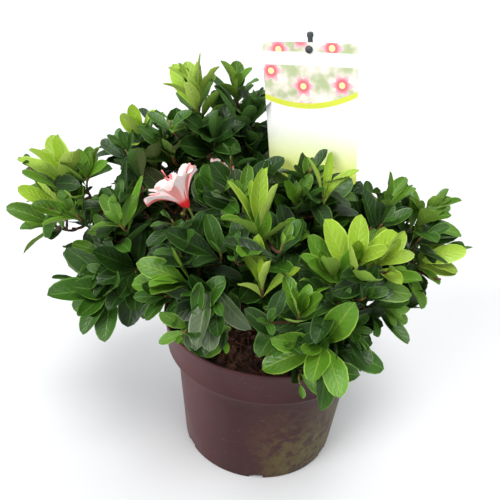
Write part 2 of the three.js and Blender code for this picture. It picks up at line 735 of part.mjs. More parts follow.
// Label, turned and leaned as one group that stands in the mix.
const label = new THREE.Group();
label.position.set(LABEL.foot[0], LABEL.foot[1], MIX.level);
label.rotation.set(
  THREE.MathUtils.degToRad(LABEL.lean),
  THREE.MathUtils.degToRad(LABEL.roll),
  THREE.MathUtils.degToRad(LABEL.yaw),
);
label.updateMatrixWorld(true);
const card = cardGeometry();
const stick = stickSolid(0);
label.add(namedMesh('label_card', geometryOf(solid(card)), FINISH.card));
label.add(namedMesh('label_stick', geometryOf(stick), FINISH.stick));
plant.add(label);

// Pot and mix. The mix is bored for the stick.
const stickInMix = solid(geometryOf(stickSolid(GAP)).applyMatrix4(label.matrixWorld));
const mix = solid(turned(mixProfile(-GAP), POT.sides)).subtract(stickInMix);
plant.add(namedMesh('pot', geometryOf(potSolid()), FINISH.pot));
plant.add(namedMesh('potting_mix', geometryOf(mix), FINISH.mix));

// Trunk and limbs.
const spaces = spacesOf(MASSES);
const limbs = growLimbs(spaces);
plant.add(namedMesh('trunk', geometryOf(trunkSolid(0)), FINISH.bark));
for (const [name, limb] of limbs.made) {
  plant.add(namedMesh(name, geometryOf(limb.body), FINISH.bark));
}

// Everything that twigs and leaves keep clear of.
const innerRim = POT.rimRadius - POT.wall;
const potKeepOut = solid(turned([
  [0, 0],
  [POT.rimRadius + KEEP_OFF.pot, 0],
  [POT.rimRadius + KEEP_OFF.pot, POT.height + KEEP_OFF.pot],
  [innerRim - KEEP_OFF.pot, POT.height + KEEP_OFF.pot],
  [innerRim - KEEP_OFF.pot, MIX.level + KEEP_OFF.mix],
  [MIX.crownRadius, MIX.level + MIX.crown + KEEP_OFF.crown],
  [0, MIX.level + MIX.crown + KEEP_OFF.crown],
], KEEP_OFF.sides));
const cardKeepOut = new THREE.BoxGeometry(
  LABEL.width + 2 * KEEP_OFF.cardEdge,
  KEEP_OFF.cardDepth,
  LABEL.height + 2 * KEEP_OFF.cardEdge,
);
cardKeepOut.translate(0, -LABEL.stickRadius, LABEL.cardTop - LABEL.height / 2 - MIX.level);
const obstacle = joinAll([
  limbs.taken,
  potKeepOut,
  stickInMix,
  solid(cardKeepOut.applyMatrix4(label.matrixWorld)),
]);

// Foliage.
MASSES.forEach((mass, index) => {
  const limb = limbs.made.get(mass.limb);
  const body = massSolid(mass, spaces[index], limb, obstacle);
  plant.add(namedMesh(mass.name, geometryOf(body), FINISH.leaf));
});

export default plant;
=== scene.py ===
import math
from collections import namedtuple

import bmesh
import bpy
from bpy.props import FloatProperty, FloatVectorProperty, IntProperty, PointerProperty
from mathutils import Matrix, Vector, noise


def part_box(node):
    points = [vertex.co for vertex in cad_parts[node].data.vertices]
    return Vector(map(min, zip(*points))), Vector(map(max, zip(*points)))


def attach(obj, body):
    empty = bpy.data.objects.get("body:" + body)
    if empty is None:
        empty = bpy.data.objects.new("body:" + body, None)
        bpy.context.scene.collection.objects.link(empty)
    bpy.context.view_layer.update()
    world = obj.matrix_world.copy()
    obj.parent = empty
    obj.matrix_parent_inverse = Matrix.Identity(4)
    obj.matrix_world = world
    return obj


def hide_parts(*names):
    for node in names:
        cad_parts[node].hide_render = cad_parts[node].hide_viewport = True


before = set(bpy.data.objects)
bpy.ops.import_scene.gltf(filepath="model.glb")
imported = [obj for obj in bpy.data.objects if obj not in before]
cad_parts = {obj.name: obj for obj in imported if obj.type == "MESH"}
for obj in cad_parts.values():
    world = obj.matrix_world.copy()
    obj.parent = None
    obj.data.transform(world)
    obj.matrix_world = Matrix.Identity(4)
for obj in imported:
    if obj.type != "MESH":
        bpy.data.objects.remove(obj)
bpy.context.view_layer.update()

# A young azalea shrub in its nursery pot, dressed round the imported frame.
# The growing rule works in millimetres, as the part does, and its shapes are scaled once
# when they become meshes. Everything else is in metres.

bl_info = {
    "name": "Potted azalea shrub",
    "version": (1, 0, 0),
    "blender": (4, 5, 0),
    "location": "3D View > Sidebar > Azalea",
    "description": "Dresses the packed azalea shrub, its pot, its mix and its label",
    "category": "Add Mesh",
}

MM = 0.001
UP = Vector((0, 0, 1))
GAP = 0.3

# The growing rule's values, in millimetres: the part's own, but for thinner twigs

TRUNK = {"foot_radius": 12, "neck_radius": 7.5, "tip_radius": 6, "height": 36, "lean": -4,
         "foot": 130.3, "flare_power": 4}
BOUGH = {"foot_radius": 4.4, "tip_radius": 2.7}
SIDE_BOUGH = {"foot_radius": 3.0, "tip_radius": 2.2}
TWIG = {"stem_radius": 2.5, "fork_radius": 1.7, "shoot_radius": 1.3, "tip_radius": 0.7,
        "shoot_length": 15, "hub_share": 0.5, "knee_share": 0.5, "steps": 7}
FORK_SHARES = (0.15, 0.5, 0.8)
HEART = Vector((-8, 5, 165))
SHOOT_TURN = {"from_heart": 0.7, "from_middle": 0.35, "up": 0.8}
SITES = {"spacing": 33, "share": 0.7, "margin": 6, "tries": 600}
EASE = 1.1
ENTRY = {"first": 0.95, "last": 0.2, "step": 0.03, "margin": 4, "deeper": 0.12}
GOLDEN_ANGLE = math.radians(137.5)
DROOP = {"below": 0.4, "share": 0.5}
UPRIGHT = 0.9
BEND_STEPS = 200

# Each mass of foliage: middle and reach of its space, shoots, rise, leading shoots, limb,
# seed and how dark its leaves are.
Mass = namedtuple("Mass", "name centre reach shoots rise leads limb seed shade")
MASSES = [
    Mass("left_tip", (-171, -10, 248), (45, 42, 47), 5, 0.8,
         [(-160, -15, 262), (-178, -12, 222)], "left", 13, 0.3),
    Mass("left_low", (-141, -20, 182), (44, 44, 46), 5, -0.1,
         [(-147, -25, 202), (-120, -30, 190)], "left_low", 3, 0.6),
    Mass("left_inner", (-127, -20, 253), (33, 44, 42), 3, 0.8,
         [(-127, -25, 252)], "left_inner", 10, 0.5),
    Mass("blossom", (-82, -20, 252), (32, 38, 34), 2, 0.6, [], "blossom", 12, 0.7),
    Mass("top_left", (-121, 50, 277), (38, 44, 37), 4, 0.9,
         [(-121, 40, 280)], "top_left", 6, 0.6),
    Mass("top_mid", (-79, 40, 309), (37, 44, 50), 5, 1,
         [(-78, 30, 322), (-72, 22, 297)], "top", 4, 0.65),
    Mass("top_right", (-40, 60, 307), (33, 42, 50), 4, 1, [(-40, 50, 320)], "top_right", 7, 0.7),
    Mass("centre", (-38, -18, 257), (38, 44, 44), 4, 0.9,
         [(-48, -30, 264), (-26, -22, 262)], "centre", 10, 0.75),
    Mass("front_left", (-61, -60, 226), (46, 44, 42), 5, 0.8,
         [(-72, -70, 232), (-42, -72, 236)], "front_left", 8, 0.7),
    Mass("front_low_left", (-62, -85, 193), (44, 38, 40), 4, 0,
         [(-82, -85, 202), (-44, -92, 204)], "front_low_left", 6, 0.45),
    Mass("front_mid", (-9, -62, 244), (34, 44, 54), 4, 1,
         [(-11, -60, 262), (-8, -84, 222)], "front_mid", 1, 0.55),
    Mass("label_front", (28, -28, 267), (44, 36, 42), 4, 1,
         [(14, -32, 264), (42, -32, 268)], "label_front", 2, 0.7),
    Mass("right_upper", (100, 10, 246), (45, 44, 40), 5, 0.8,
         [(84, 8, 248), (116, 0, 248)], "right", 4, 0.8),
    Mass("right_tip", (131, -12, 205), (40, 46, 44), 5, 0.35,
         [(128, -20, 214)], "right_tip", 7, 0.65),
    Mass("right_front", (60, -60, 236), (41, 44, 42), 5, 0.9,
         [(52, -70, 244)], "right_front", 2, 0.55),
    Mass("front_right", (15, -95, 208), (40, 38, 40), 4, 0.5,
         [(20, -100, 216)], "front_right", 7, 0.75),
    Mass("front_low_right", (47, -96, 169), (39, 36, 46), 4, 0,
         [(40, -106, 182), (62, -92, 190)], "front_low_right", 5, 0.65),
    Mass("right_low", (97, -58, 175), (38, 42, 42), 4, 0, [(92, -60, 188)], "right_low", 11, 0.85),
    Mass("back_left", (-132, 62, 212), (46, 46, 46), 5, 0.5,
         [(-140, 66, 222)], "back_left", 4, 0.6),
    Mass("back_mid", (-62, 98, 226), (50, 44, 50), 6, 0.6,
         [(-64, 108, 238)], "back_mid", 8, 0.6),
    Mass("back", (18, 98, 204), (46, 46, 46), 5, 0.5, [(16, 108, 212)], "back", 11, 0.65),
    Mass("back_right", (84, 72, 188), (46, 46, 42), 5, 0.4,
         [(92, 80, 194)], "back_right", 4, 0.55),
    Mass("middle", (34, 52, 226), (40, 36, 38), 3, 0.9, [], "middle", 11, 0.7),
]

# Each limb: its foot, by height on the trunk or by share of a main limb, and its lift.
Limb = namedtuple("Limb", "name on place lift")
LIMBS = [
    Limb("left", None, 22, 14),
    Limb("front_left", None, 12, 10),
    Limb("front_mid", None, 24, -6),
    Limb("front_right", None, 14, 12),
    Limb("right", None, 20, 8),
    Limb("back_right", None, 12, 12),
    Limb("back_mid", None, 25, 8),
    Limb("top", None, 33, -8),
    Limb("left_low", "left", 0.72, 6),
    Limb("left_inner", "left", 0.6, -4),
    Limb("blossom", "left", 0.44, -4),
    Limb("top_left", "top", 0.55, -4),
    Limb("top_right", "top", 0.62, -4),
    Limb("centre", "top", 0.36, -4),
    Limb("front_low_left", "front_left", 0.66, 5),
    Limb("label_front", "front_mid", 0.6, -3),
    Limb("front_low_right", "front_right", 0.7, 5),
    Limb("right_front", "front_right", 0.45, -4),
    Limb("right_tip", "right", 0.7, 4),
    Limb("right_low", "right", 0.5, 6),
    Limb("back_left", "back_mid", 0.5, 5),
    Limb("back", "back_right", 0.55, 4),
    Limb("middle", "back_right", 0.3, -3),
]

# What the scene adds to the rule, in millimetres

# Finer shoots fill each space between the part's own.
FINER = {"shoots": 3, "spacing": 27, "share": 0.82, "margin": 1, "tries": 900, "longest": 52,
         "seed": 1000}
# Tufts of leaves, bright new ones and darker ones between them: mass, foot of the tuft, the
# way it grows, how many leaves, their length and width share, how fast they open, their colour.
Tuft = namedtuple("Tuft", "mass site axis leaves length width open tone")
TUFTS = [
    Tuft("top_mid", (-76, 34, 320), (-0.3, -0.15, 1), 12, 42, 0.3, 5.5, "fresh"),
    Tuft("top_mid", (-94, 36, 312), (-0.5, -0.2, 1), 6, 32, 0.32, 6, "fresh"),
    Tuft("top_mid", (-72, 38, 325), (-0.1, -0.1, 1), 6, 38, 0.3, 6, "fresh"),
    Tuft("top_right", (-40, 48, 328), (0, -0.1, 1), 9, 34, 0.36, 6.5, "bright"),
    Tuft("top_left", (-121, 34, 286), (-0.25, -0.2, 1), 10, 36, 0.32, 6.5, "fresh"),
    Tuft("left_tip", (-172, -18, 264), (-0.3, -0.15, 1), 10, 48, 0.32, 6, "fresh"),
    Tuft("left_tip", (-188, -14, 218), (-1, 0, 0.3), 6, 44, 0.36, 7.5, "bright"),
    Tuft("left_tip", (-182, -14, 242), (-0.5, -0.1, 0.9), 7, 36, 0.34, 6.5, "fresh"),
    Tuft("left_tip", (-154, -18, 266), (0.1, -0.1, 1), 6, 34, 0.34, 6.5, "bright"),
    Tuft("front_mid", (-16, -60, 256), (-0.08, 0, 1), 8, 50, 0.2, 3.2, "fresh"),
    Tuft("front_mid", (-14, -62, 240), (0.1, -0.2, 1), 9, 46, 0.36, 8, "bright"),
    Tuft("front_mid", (-10, -84, 216), (-0.1, -0.15, 1), 6, 42, 0.22, 6.5, "fresh"),
    Tuft("label_front", (34, -34, 270), (-0.05, 0, 1), 4, 46, 0.15, 4, "fresh"),
    Tuft("right_front", (58, -74, 232), (0.05, -0.3, 1), 12, 46, 0.33, 6, "fresh"),
    Tuft("right_front", (42, -76, 224), (-0.5, -0.3, 0.8), 7, 42, 0.34, 6.5, "bright"),
    Tuft("right_front", (80, -60, 230), (0.35, -0.3, 0.9), 8, 38, 0.32, 6.5, "fresh"),
    Tuft("right_upper", (90, -4, 250), (0.55, 0, 1), 7, 46, 0.2, 5, "bright"),
    Tuft("right_upper", (120, -8, 242), (0.6, 0, 0.8), 9, 40, 0.36, 6.5, "bright"),
    Tuft("right_upper", (128, 2, 250), (0.3, 0, 1), 6, 36, 0.34, 6.5, "bright"),
    Tuft("right_tip", (128, -20, 211), (0.95, -0.1, 0.35), 10, 42, 0.36, 6.5, "fresh"),
    Tuft("front_left", (-68, -78, 212), (-0.6, -0.5, 0.5), 7, 44, 0.36, 6.5, "bright"),
    Tuft("front_right", (18, -108, 212), (0, -0.3, 1), 8, 34, 0.38, 6.5, "bright"),
    Tuft("front_low_right", (38, -104, 182), (-0.3, -0.6, 0.45), 12, 52, 0.34, 8, "bright"),
    # These grey-green leaves carry a painted sheen in their colour.
    Tuft("front_low_left", (-48, -90, 206), (0, -0.5, -0.55), 7, 50, 0.34, 6, "dusty"),
    Tuft("centre", (-54, -32, 252), (-0.55, -0.25, 0.75), 3, 40, 0.46, 7, "dusty"),
    Tuft("centre", (-34, -36, 262), (-0.1, -0.3, 1), 7, 38, 0.42, 7.5, "dusty"),
    Tuft("top_mid", (-92, 26, 270), (-0.3, -0.5, 0.7), 12, 48, 0.36, 6.5, "mid"),
    Tuft("top_mid", (-56, 18, 290), (0.1, -0.6, 0.8), 12, 48, 0.36, 6.5, "dark"),
    Tuft("top_left", (-108, 26, 262), (-0.2, -0.6, 0.6), 12, 46, 0.36, 6.5, "dark"),
    Tuft("top_right", (-34, 30, 300), (0.2, -0.5, 0.8), 12, 46, 0.34, 6.5, "dark"),
    Tuft("top_right", (-26, 40, 310), (0.05, -0.3, 1), 12, 36, 0.36, 6.5, "dark"),
    Tuft("top_right", (-22, 34, 280), (0.05, -0.5, 0.8), 12, 44, 0.36, 7, "dark"),
    Tuft("centre", (-22, 0, 262), (0.3, -0.4, 0.9), 12, 44, 0.36, 7, "dark"),
    Tuft("centre", (-52, -34, 256), (-0.3, -0.5, 0.8), 12, 44, 0.34, 7, "mid"),
    Tuft("centre", (-58, -10, 240), (-0.3, -0.6, 0.3), 12, 42, 0.36, 7, "dark"),
    Tuft("blossom", (-92, 8, 244), (-0.4, -0.5, 0.7), 12, 42, 0.36, 7, "dark"),
    Tuft("label_front", (24, 0, 254), (0, -0.4, 0.9), 12, 46, 0.36, 7, "dark"),
    Tuft("middle", (34, 30, 200), (0, -0.5, 0.6), 14, 50, 0.38, 7, "dark"),
    Tuft("middle", (2, 44, 214), (-0.3, -0.5, 0.7), 14, 50, 0.38, 7, "dark"),
    Tuft("middle", (60, 30, 226), (0.3, -0.4, 0.7), 12, 44, 0.36, 7, "dark"),
    Tuft("left_low", (-136, -48, 176), (-0.2, -0.7, 0.1), 12, 52, 0.36, 6.5, "mid"),
    Tuft("left_low", (-112, -44, 196), (0.1, -0.7, 0.2), 12, 48, 0.36, 6.5, "dark"),
    Tuft("back_mid", (-66, 106, 250), (-0.1, 0.3, 1), 9, 38, 0.32, 6.5, "fresh"),
    Tuft("back_right", (94, 82, 204), (0.4, 0.4, 0.8), 9, 38, 0.34, 6.5, "fresh"),
    Tuft("back", (14, 110, 220), (0, 0.4, 0.9), 8, 34, 0.36, 6.5, "bright"),
]
# Sprays of old dark leaves low in the heart of the crown: mass and foot of the spray.
INNER = [("back_mid", (-62, 62, 196)), ("back_mid", (-92, 68, 206)), ("back_mid", (-34, 70, 190)),
         ("back", (0, 64, 184)), ("back", (30, 64, 180)), ("middle", (54, 34, 196)),
         ("back_right", (80, 44, 176)), ("back_right", (106, 50, 184)), ("back_left", (-114, 42, 198)),
         ("left_inner", (-112, -4, 222)), ("centre", (-44, 6, 224)), ("label_front", (30, -8, 238)),
         ("front_mid", (-4, -38, 206)), ("front_left", (-52, -42, 200)), ("right_upper", (84, 4, 216))]
TUFTS += [Tuft(mass, site, (0, -0.6, 0.6), 14, 48, 0.36, 8, "dark") for mass, site in INNER]
# Leaves of a shoot: they open by a tilt that grows down the stem, and grow to full length.
SPRAY = {"leaves": 14, "first_tilt": 9, "tilt_step": 6.5, "step": 1.8, "length": 52, "spread": 0.16,
         "width": 0.34, "youngest": 0.28, "growth": 0.09, "fine_size": 0.86, "tone_step": 4}
TUFT = {"first_tilt": 5, "step": 2.4, "spread": 0.12, "youngest": 0.62, "growth": 0.14,
        "tone_step": 6}
# The colours of a tuft's middle and oldest leaves, by that of its youngest.
OLDER = {"fresh": ("bright", "mid"), "bright": ("mid", "mid"), "mid": ("mid", "dark"),
         "dark": ("dark", "dark"), "dusty": ("dusty", "dusty")}
TUFT_ROOM = {"divide": 60, "slope": 0.45, "near": 8, "reach": 60, "radius": 14}
TUFT_SLACK = 1.35
# A tuft of new growth takes the place of the leaves of a shoot this near.
TUFT_TAKES = 15
# How far the middles of leaves keep apart, as a share of their length.
LEAF_APART = {"shoot": 0.1, "tuft": 0.05}
# A shoot or tuft with fewer leaves than this stays bare. Its twig is left out, or cut back to
# this many points where others fork from it, as near as this.
BARE = {"shoot": 5, "tuft": 2, "points": 5, "near": 3}
# Each shoot has its own seed, from its place.
SHOOT_SEEDS = Vector((73.1, 179.3, 283.7))
# Leaf faces turn along the shoot, up, and in front of the divide to the front.
FACE = {"axis": 0.6, "up": 0.45, "front": 0.25, "divide": 60, "roll": 0.45}
# Tried in turn for a leaf that would touch something: turn, tilt and length share.
LEAF_TRIES = ((0, 0, 1), (24, 3, 1), (-24, 6, 1), (12, -9, 0.94), (44, 8, 0.9),
              (-44, -6, 0.86), (70, 12, 0.8))
# Half width of a leaf along its length.
LEAF_STATIONS = ((0, 0.07), (0.1, 0.14), (0.27, 0.52), (0.45, 0.86), (0.6, 1.0),
                 (0.75, 0.94), (0.87, 0.76), (0.955, 0.47), (1, 0))
LEAF_PROBES = (0.35, 0.6, 0.85, 1.0)
# Where a leaf is widest, and how much its width and the length of a shoot's leaves vary.
LEAF_WIDEST = 0.7
LEAF_WIDER = (1.0, 1.26)
SPRAY_LONGER = (0.9, 1.12)
# A shoot below these chances, times its mass's shade, is dark or middling; others are bright.
TONE_CHANCES = {"dark": 0.8, "middling": 1.25}
PLANE_SLACK = 9
SPACE_SLACK = 0.97
POT_CLEAR = 3
MIX_CLEAR = 24
CARD_CLEAR = 2.5
# How high the leaves between the bright tufts may stand, and how low leaves may hang, so
# that the tufts and the mix show.
HIGHEST = {"label_front": 298, "top_mid": 334, "top_right": 348, "top_left": 298, "left_tip": 282,
           "right_front": 250, "right_upper": 276}
LOWEST = {"front_low_left": 168, "front_low_right": 146, "front_left": 180, "front_mid": 180,
          "right_tip": 182, "right_low": 170, "left_low": 140, "back_right": 160}

# Leaf colours: upper side and under side.
TONES = {
    "dark": ("#1d380d", "#4b7030"),
    "mid": ("#305514", "#60893a"),
    "bright": ("#4e7a1b", "#7fa03c"),
    "fresh": ("#8fb12e", "#a8c156"),
    # The dusty leaves' grey-green is partly their own hairy grey and partly a painted sheen.
    "dusty": ("#465c36", "#7a8668"),
}

# Blossoms: foot, the way they face, how wide they open, and the seed of their petals.
Blossom = namedtuple("Blossom", "foot axis reach seed")
BLOSSOMS = [
    Blossom((-74, -12, 243), (-0.52, 0.14, 0.74), 25, 5),
    Blossom((-54, 10, 260), (0.5, -0.15, 0.8), 13, 4),
    Blossom((82, 26, 232), (0, -0.3, 0.95), 13, 14),
]
# Round rods that leaves keep out of, so that the blossoms, the rim and the sky between the
# masses show: ends and radius.
Clear = namedtuple("Clear", "foot tip radius")
CLEARINGS = [
    Clear((-78, -12, 248), (-88, -8, 263), 24),
    Clear((-86, -16, 260), (-78, -72, 284), 17),
    Clear((-51, 11, 262), (-50, 9, 270), 9),
    Clear((-50, 6, 268), (-46, -46, 289), 7),
    Clear((82, 25, 236), (82, 24, 244), 9),
    Clear((-120, -138, 166), (-10, -138, 166), 22),
    Clear((138, -28, 150), (174, -24, 186), 18),
    Clear((82, 24, 244), (67, -46, 276), 3),
    Clear((-104, 70, 310), (-92, -10, 332), 11),
    Clear((-157, 80, 286), (-137, 0, 311), 9),
    Clear((-159, 60, 237), (-133, -40, 278), 9),
    Clear((136, 40, 255), (111, -40, 287), 9),
    Clear((175, 20, 165), (147, -50, 207), 12),
    Clear((168, 40, 112), (123, -80, 194), 13),
    Clear((115, 0, 102), (80, -120, 193), 9),
    Clear((-108, 20, 98), (-85, -110, 194), 8),
    Clear((81, -60, 91), (61, -140, 163), 9),
    Clear((94, -40, 89), (67, -140, 175), 9),
]

# The label, in millimetres and degrees
LABEL = {"foot": (49, 22), "level": 127, "width": 76, "height": 113, "card_top": 380,
         "corner": 6, "thickness": 0.5, "stick_radius": 1.9, "stick_over": 7, "depth": 40,
         "stud_below": 5, "stud_radius": 3, "yaw": -23, "lean": 3.5, "roll": -8, "bow": 1.5}

# The potting mix, in metres, and the fibres on it, in millimetres
MIX_LEVEL = 0.127
MIX_CROWN = 0.003
MIX_RADIUS = 0.0905
CHIPS = {"seed": 77, "shapes": 8, "least": 0.003, "most": 0.0085, "common": 0.8, "large": 1.5,
         "tilt": 0.6, "raised": 0.12}
FIBRES = {"reach": 88, "edge": 89, "least": 5, "most": 18, "steps": 5, "turn": 0.5,
          "thinnest": 0.25, "thickest": 0.5, "tip": 0.15}

# How leaf shapes are made: columns across a leaf, thickness as a share of its length, waves of
# its margin, and which shape each leaf takes.
LEAF_COLUMNS = 4
LEAF_THICKNESS = 0.009
LEAF_WAVES = {"count": 14, "apart": 1.3}
LEAF_SHAPE_SEED = 40
LEAF_SHAPE_STEP = 977
LEAF_VARIES = {"arch": (-0.2, 0.85), "fold": (0.2, 0.55), "wave": (0.0, 0.16),
               "twist": (-0.5, 0.5), "phase": (0, 6)}
# How a petal is shaped, as shares of its reach, with half its angle at the foot in degrees: its
# rounded end, its tube, how it spreads, rises and narrows, its cup and the waves of its edge.
PETAL = {"round": 0.16, "round_power": 2.6, "round_from": 0.4, "foot": 0.09, "throat": 0.14,
         "spread": 0.82, "spread_power": 1.05, "tube_rise": 0.36, "turn": 1.7, "half_angle": 43,
         "belly": 0.15, "narrowing": 0.34, "waves": 5.5, "slant": 3, "cup": 0.1, "frill": 0.03,
         "frills": 13, "tube": 0.27}
PETAL_GRID = (10, 12)
PETAL_THICKNESS = 0.00035
# Stamens, the longer pistil between them, and the calyx with its stalk: how far they lean, how
# far they reach and their radii, in millimetres or as shares of the blossom's reach.
STAMEN = {"lean": (0.1, 0.35), "reach": 1.15, "steps": 6, "radii": (0.35, 0.28), "anther": 0.75}
PISTIL = {"lean": 0.05, "reach": 1.4}
CALYX = {"lobes": 5, "lean": 0.7, "reach": 6, "radii": [1.2, 0.9, 0.2], "stalk_radii": (1.1, 1.4)}
# The side of a cell of the grid that keeps leaves apart.
CROWN_CELL = 8

# The light: name, the side it comes from, how soft it is, power and colour.
SUNS = (("key", (0.1, -0.42, 1.1), 30, 2.05, (1.0, 0.99, 0.97)),
        ("fill", (-0.8, -0.68, 0.5), 34, 2.3, (0.99, 0.99, 1.0)),
        ("top", (0.1, 0.3, 1.0), 60, 0.9, (1.0, 1.0, 1.0)))
SKY = {"colour": (0.97, 0.98, 1.0, 1), "strength": 0.56}


def colour(code):
    """Turns a hex colour into Blender's linear one."""
    parts = [int(code[i:i + 2], 16) / 255 for i in (1, 3, 5)]
    return (*(p / 12.92 if p < 0.04045 else ((p + 0.055) / 1.055) ** 2.4 for p in parts), 1.0)


def seeded(seed):
    """The part's own seeded random."""
    state = [seed & 0xFFFFFFFF]

    def draw():
        state[0] = (state[0] * 1664525 + 1013904223) & 0xFFFFFFFF
        return state[0] / 4294967296
    return draw


def between(draw, low, high):
    return low + (high - low) * draw()


def blend_of(a, b, share):
    return a + (b - a) * share


# The growing rule

class Bend:
    """A limb's curve through its foot, its lifted middle and its tip, by share of length."""

    def __init__(self, foot, middle, tip):
        self.ends = (foot, middle, tip)
        points = [self.at(step / BEND_STEPS) for step in range(BEND_STEPS + 1)]
        self.lengths = [0.0]
        for a, b in zip(points, points[1:]):
            self.lengths.append(self.lengths[-1] + (b - a).length)

    def at(self, t):
        foot, middle, tip = self.ends
        return foot * (1 - t) ** 2 + middle * (2 * t * (1 - t)) + tip * t ** 2

    def point(self, share):
        wanted = share * self.lengths[-1]
        for step in range(BEND_STEPS):
            low, high = self.lengths[step], self.lengths[step + 1]
            if high >= wanted:
                return self.at((step + (wanted - low) / (high - low)) / BEND_STEPS)
        return self.ends[2].copy()

    def towards(self):
        return (self.ends[2] - self.ends[1]).normalized()


class Space:
    """The room of one mass: an eased ellipsoid, cut by planes halfway to its neighbours."""

    def __init__(self, mass):
        self.centre = Vector(mass.centre)
        self.reach = Vector(mass.reach) * EASE
        self.planes = []
        for other in MASSES:
            if other is mass:
                continue
            apart = Vector(other.centre) - self.centre
            towards = apart.normalized()
            own = (towards * self.reach).length
            theirs = (towards * Vector(other.reach)).length * EASE
            if own + theirs >= apart.length:
                share = apart.length * own / (own + theirs)
                self.planes.append((towards, self.centre.dot(towards) + share - GAP))

    def local(self, point):
        off = point - self.centre
        return Vector((off.x / self.reach.x, off.y / self.reach.y, off.z / self.reach.z))

    def holds(self, point, margin, ease=1.0):
        if self.local(point).length > ease:
            return False
        return all(point.dot(towards) < limit - margin for towards, limit in self.planes)

    def entry(self, foot):
        """Where a limb that starts at a foot enters this space."""
        direction = foot - self.centre
        share = ENTRY["first"]
        while share > ENTRY["last"]:
            point = self.centre + direction * share
            if self.holds(point, ENTRY["margin"]):
                return blend_of(point, self.centre, ENTRY["deeper"])
            share -= ENTRY["step"]
        return self.centre + direction * ENTRY["last"]


def trunk_point(height):
    share = height / TRUNK["height"]
    return Vector((TRUNK["lean"] * share * share, 0, TRUNK["foot"] + height))


def grow_limbs(spaces):
    """The bend of each limb, by name."""
    bends = {}
    for limb in LIMBS:
        mass = next(mass for mass in MASSES if mass.limb == limb.name)
        foot = bends[limb.on].point(limb.place) if limb.on else trunk_point(limb.place)
        tip = spaces[mass.name].entry(foot)
        bends[limb.name] = Bend(foot, blend_of(foot, tip, 0.5) + UP * limb.lift, tip)
    return bends


def fill_sites(sites, count, space, draw, rule):
    """Adds seeded places for shoots to a list, each apart from the others."""
    for _ in range(rule["tries"]):
        if len(sites) >= count:
            break
        local = Vector((draw() * 2 - 1, draw() * 2 - 1, draw() * 2 - 1))
        if local.length > 1:
            continue
        point = local * rule["share"] * space.reach + space.centre
        if not space.holds(point, rule["margin"]):
            continue
        if all((site - point).length >= rule["spacing"] for site in sites):
            sites.append(point)
    return sites


def shoot_axis(mass, space, site):
    axis = (site - HEART).normalized() * SHOOT_TURN["from_heart"]
    axis += space.local(site) * SHOOT_TURN["from_middle"]
    return (axis + UP * (mass.rise * SHOOT_TURN["up"])).normalized()


def leaning(axis, tilt, angle):
    """A direction that leans away from an axis by a tilt, turned round it by an angle."""
    across = Vector((1, 0, 0)) if abs(axis.z) > UPRIGHT else UP
    side = Matrix.Rotation(angle, 3, axis) @ axis.cross(across).normalized()
    return (axis * math.cos(tilt) + side * math.sin(tilt)).normalized()


Twig = namedtuple("Twig", "points radii")
Shoot = namedtuple("Shoot", "mass site axis rank tuft")


def smooth_path(points, steps):
    """Rounds the corners of a short path."""
    foot, *middles, tip = points
    middle = sum(middles, Vector()) / len(middles)
    control = middle * 1.5 - (foot + tip) * 0.25
    return [foot * (1 - t) ** 2 + control * (2 * t * (1 - t)) + tip * t * t
            for t in (step / steps for step in range(steps + 1))]


def grow_mass(mass, space, bend):
    """The twigs and shoots of one mass: the part's own first, then finer ones and tufts."""
    draw = seeded(mass.seed)
    sites = fill_sites([Vector(lead) for lead in mass.leads], mass.shoots, space, draw, SITES)
    start = bend.ends[2]
    middle = sum(sites, Vector()) / len(sites)
    hub = blend_of(start, middle, TWIG["hub_share"])
    knee = start + bend.towards() * ((hub - start).length * TWIG["knee_share"])
    stem = smooth_path([start, knee, hub], TWIG["steps"])
    twigs = [Twig(stem, (TWIG["stem_radius"], TWIG["fork_radius"]))]
    forks = [blend_of(knee, hub, share) for share in FORK_SHARES]
    anchors = list(forks)
    shoots = []

    def grow_twig(foot, width, site, axis, rank, tuft=None):
        neck = site - axis * TWIG["shoot_length"]
        path = smooth_path([foot, neck, site], TWIG["steps"])
        twigs.append(Twig(path, (width, TWIG["tip_radius"])))
        anchors.extend(path[2:6:2])
        shoots.append(Shoot(mass, site, axis, rank, tuft))
        return neck

    for site in sorted(sites, key=lambda site: (site - hub).length):
        axis = shoot_axis(mass, space, site)
        neck = site - axis * TWIG["shoot_length"]
        forks.sort(key=lambda fork: (fork - neck).length)
        foot = forks.pop(0)
        grow_twig(foot, TWIG["fork_radius"], site, axis, 1)
        forks += [blend_of(foot, neck, share) for share in FORK_SHARES[1:]]
    extra = [(Vector(tuft.site), Vector(tuft.axis).normalized(), 0, tuft)
             for tuft in TUFTS if tuft.mass == mass.name]
    finer_draw = seeded(mass.seed + FINER["seed"])
    finer = fill_sites(list(sites), len(sites) + FINER["shoots"], space, finer_draw, FINER)
    extra += [(site, shoot_axis(mass, space, site), 2, None) for site in finer[len(sites):]]
    for site, axis, rank, tuft in extra:
        neck = site - axis * TWIG["shoot_length"]
        foot = min(anchors, key=lambda anchor: (anchor - neck).length)
        if tuft or (foot - neck).length < FINER["longest"] and not in_clearing(site, CLEARINGS):
            grow_twig(foot, TWIG["shoot_radius"], site, axis, rank, tuft)
    return twigs, shoots


def is_taken(shoot):
    """Whether a bright tuft or a clearing is where this shoot would have its leaves."""
    if shoot.tuft:
        return False
    near_tuft = any((shoot.site - Vector(tuft.site)).length < TUFT_TAKES
                    for tuft in TUFTS if tuft.tone in ("fresh", "bright"))
    return near_tuft or in_clearing(shoot.site, CLEARINGS)


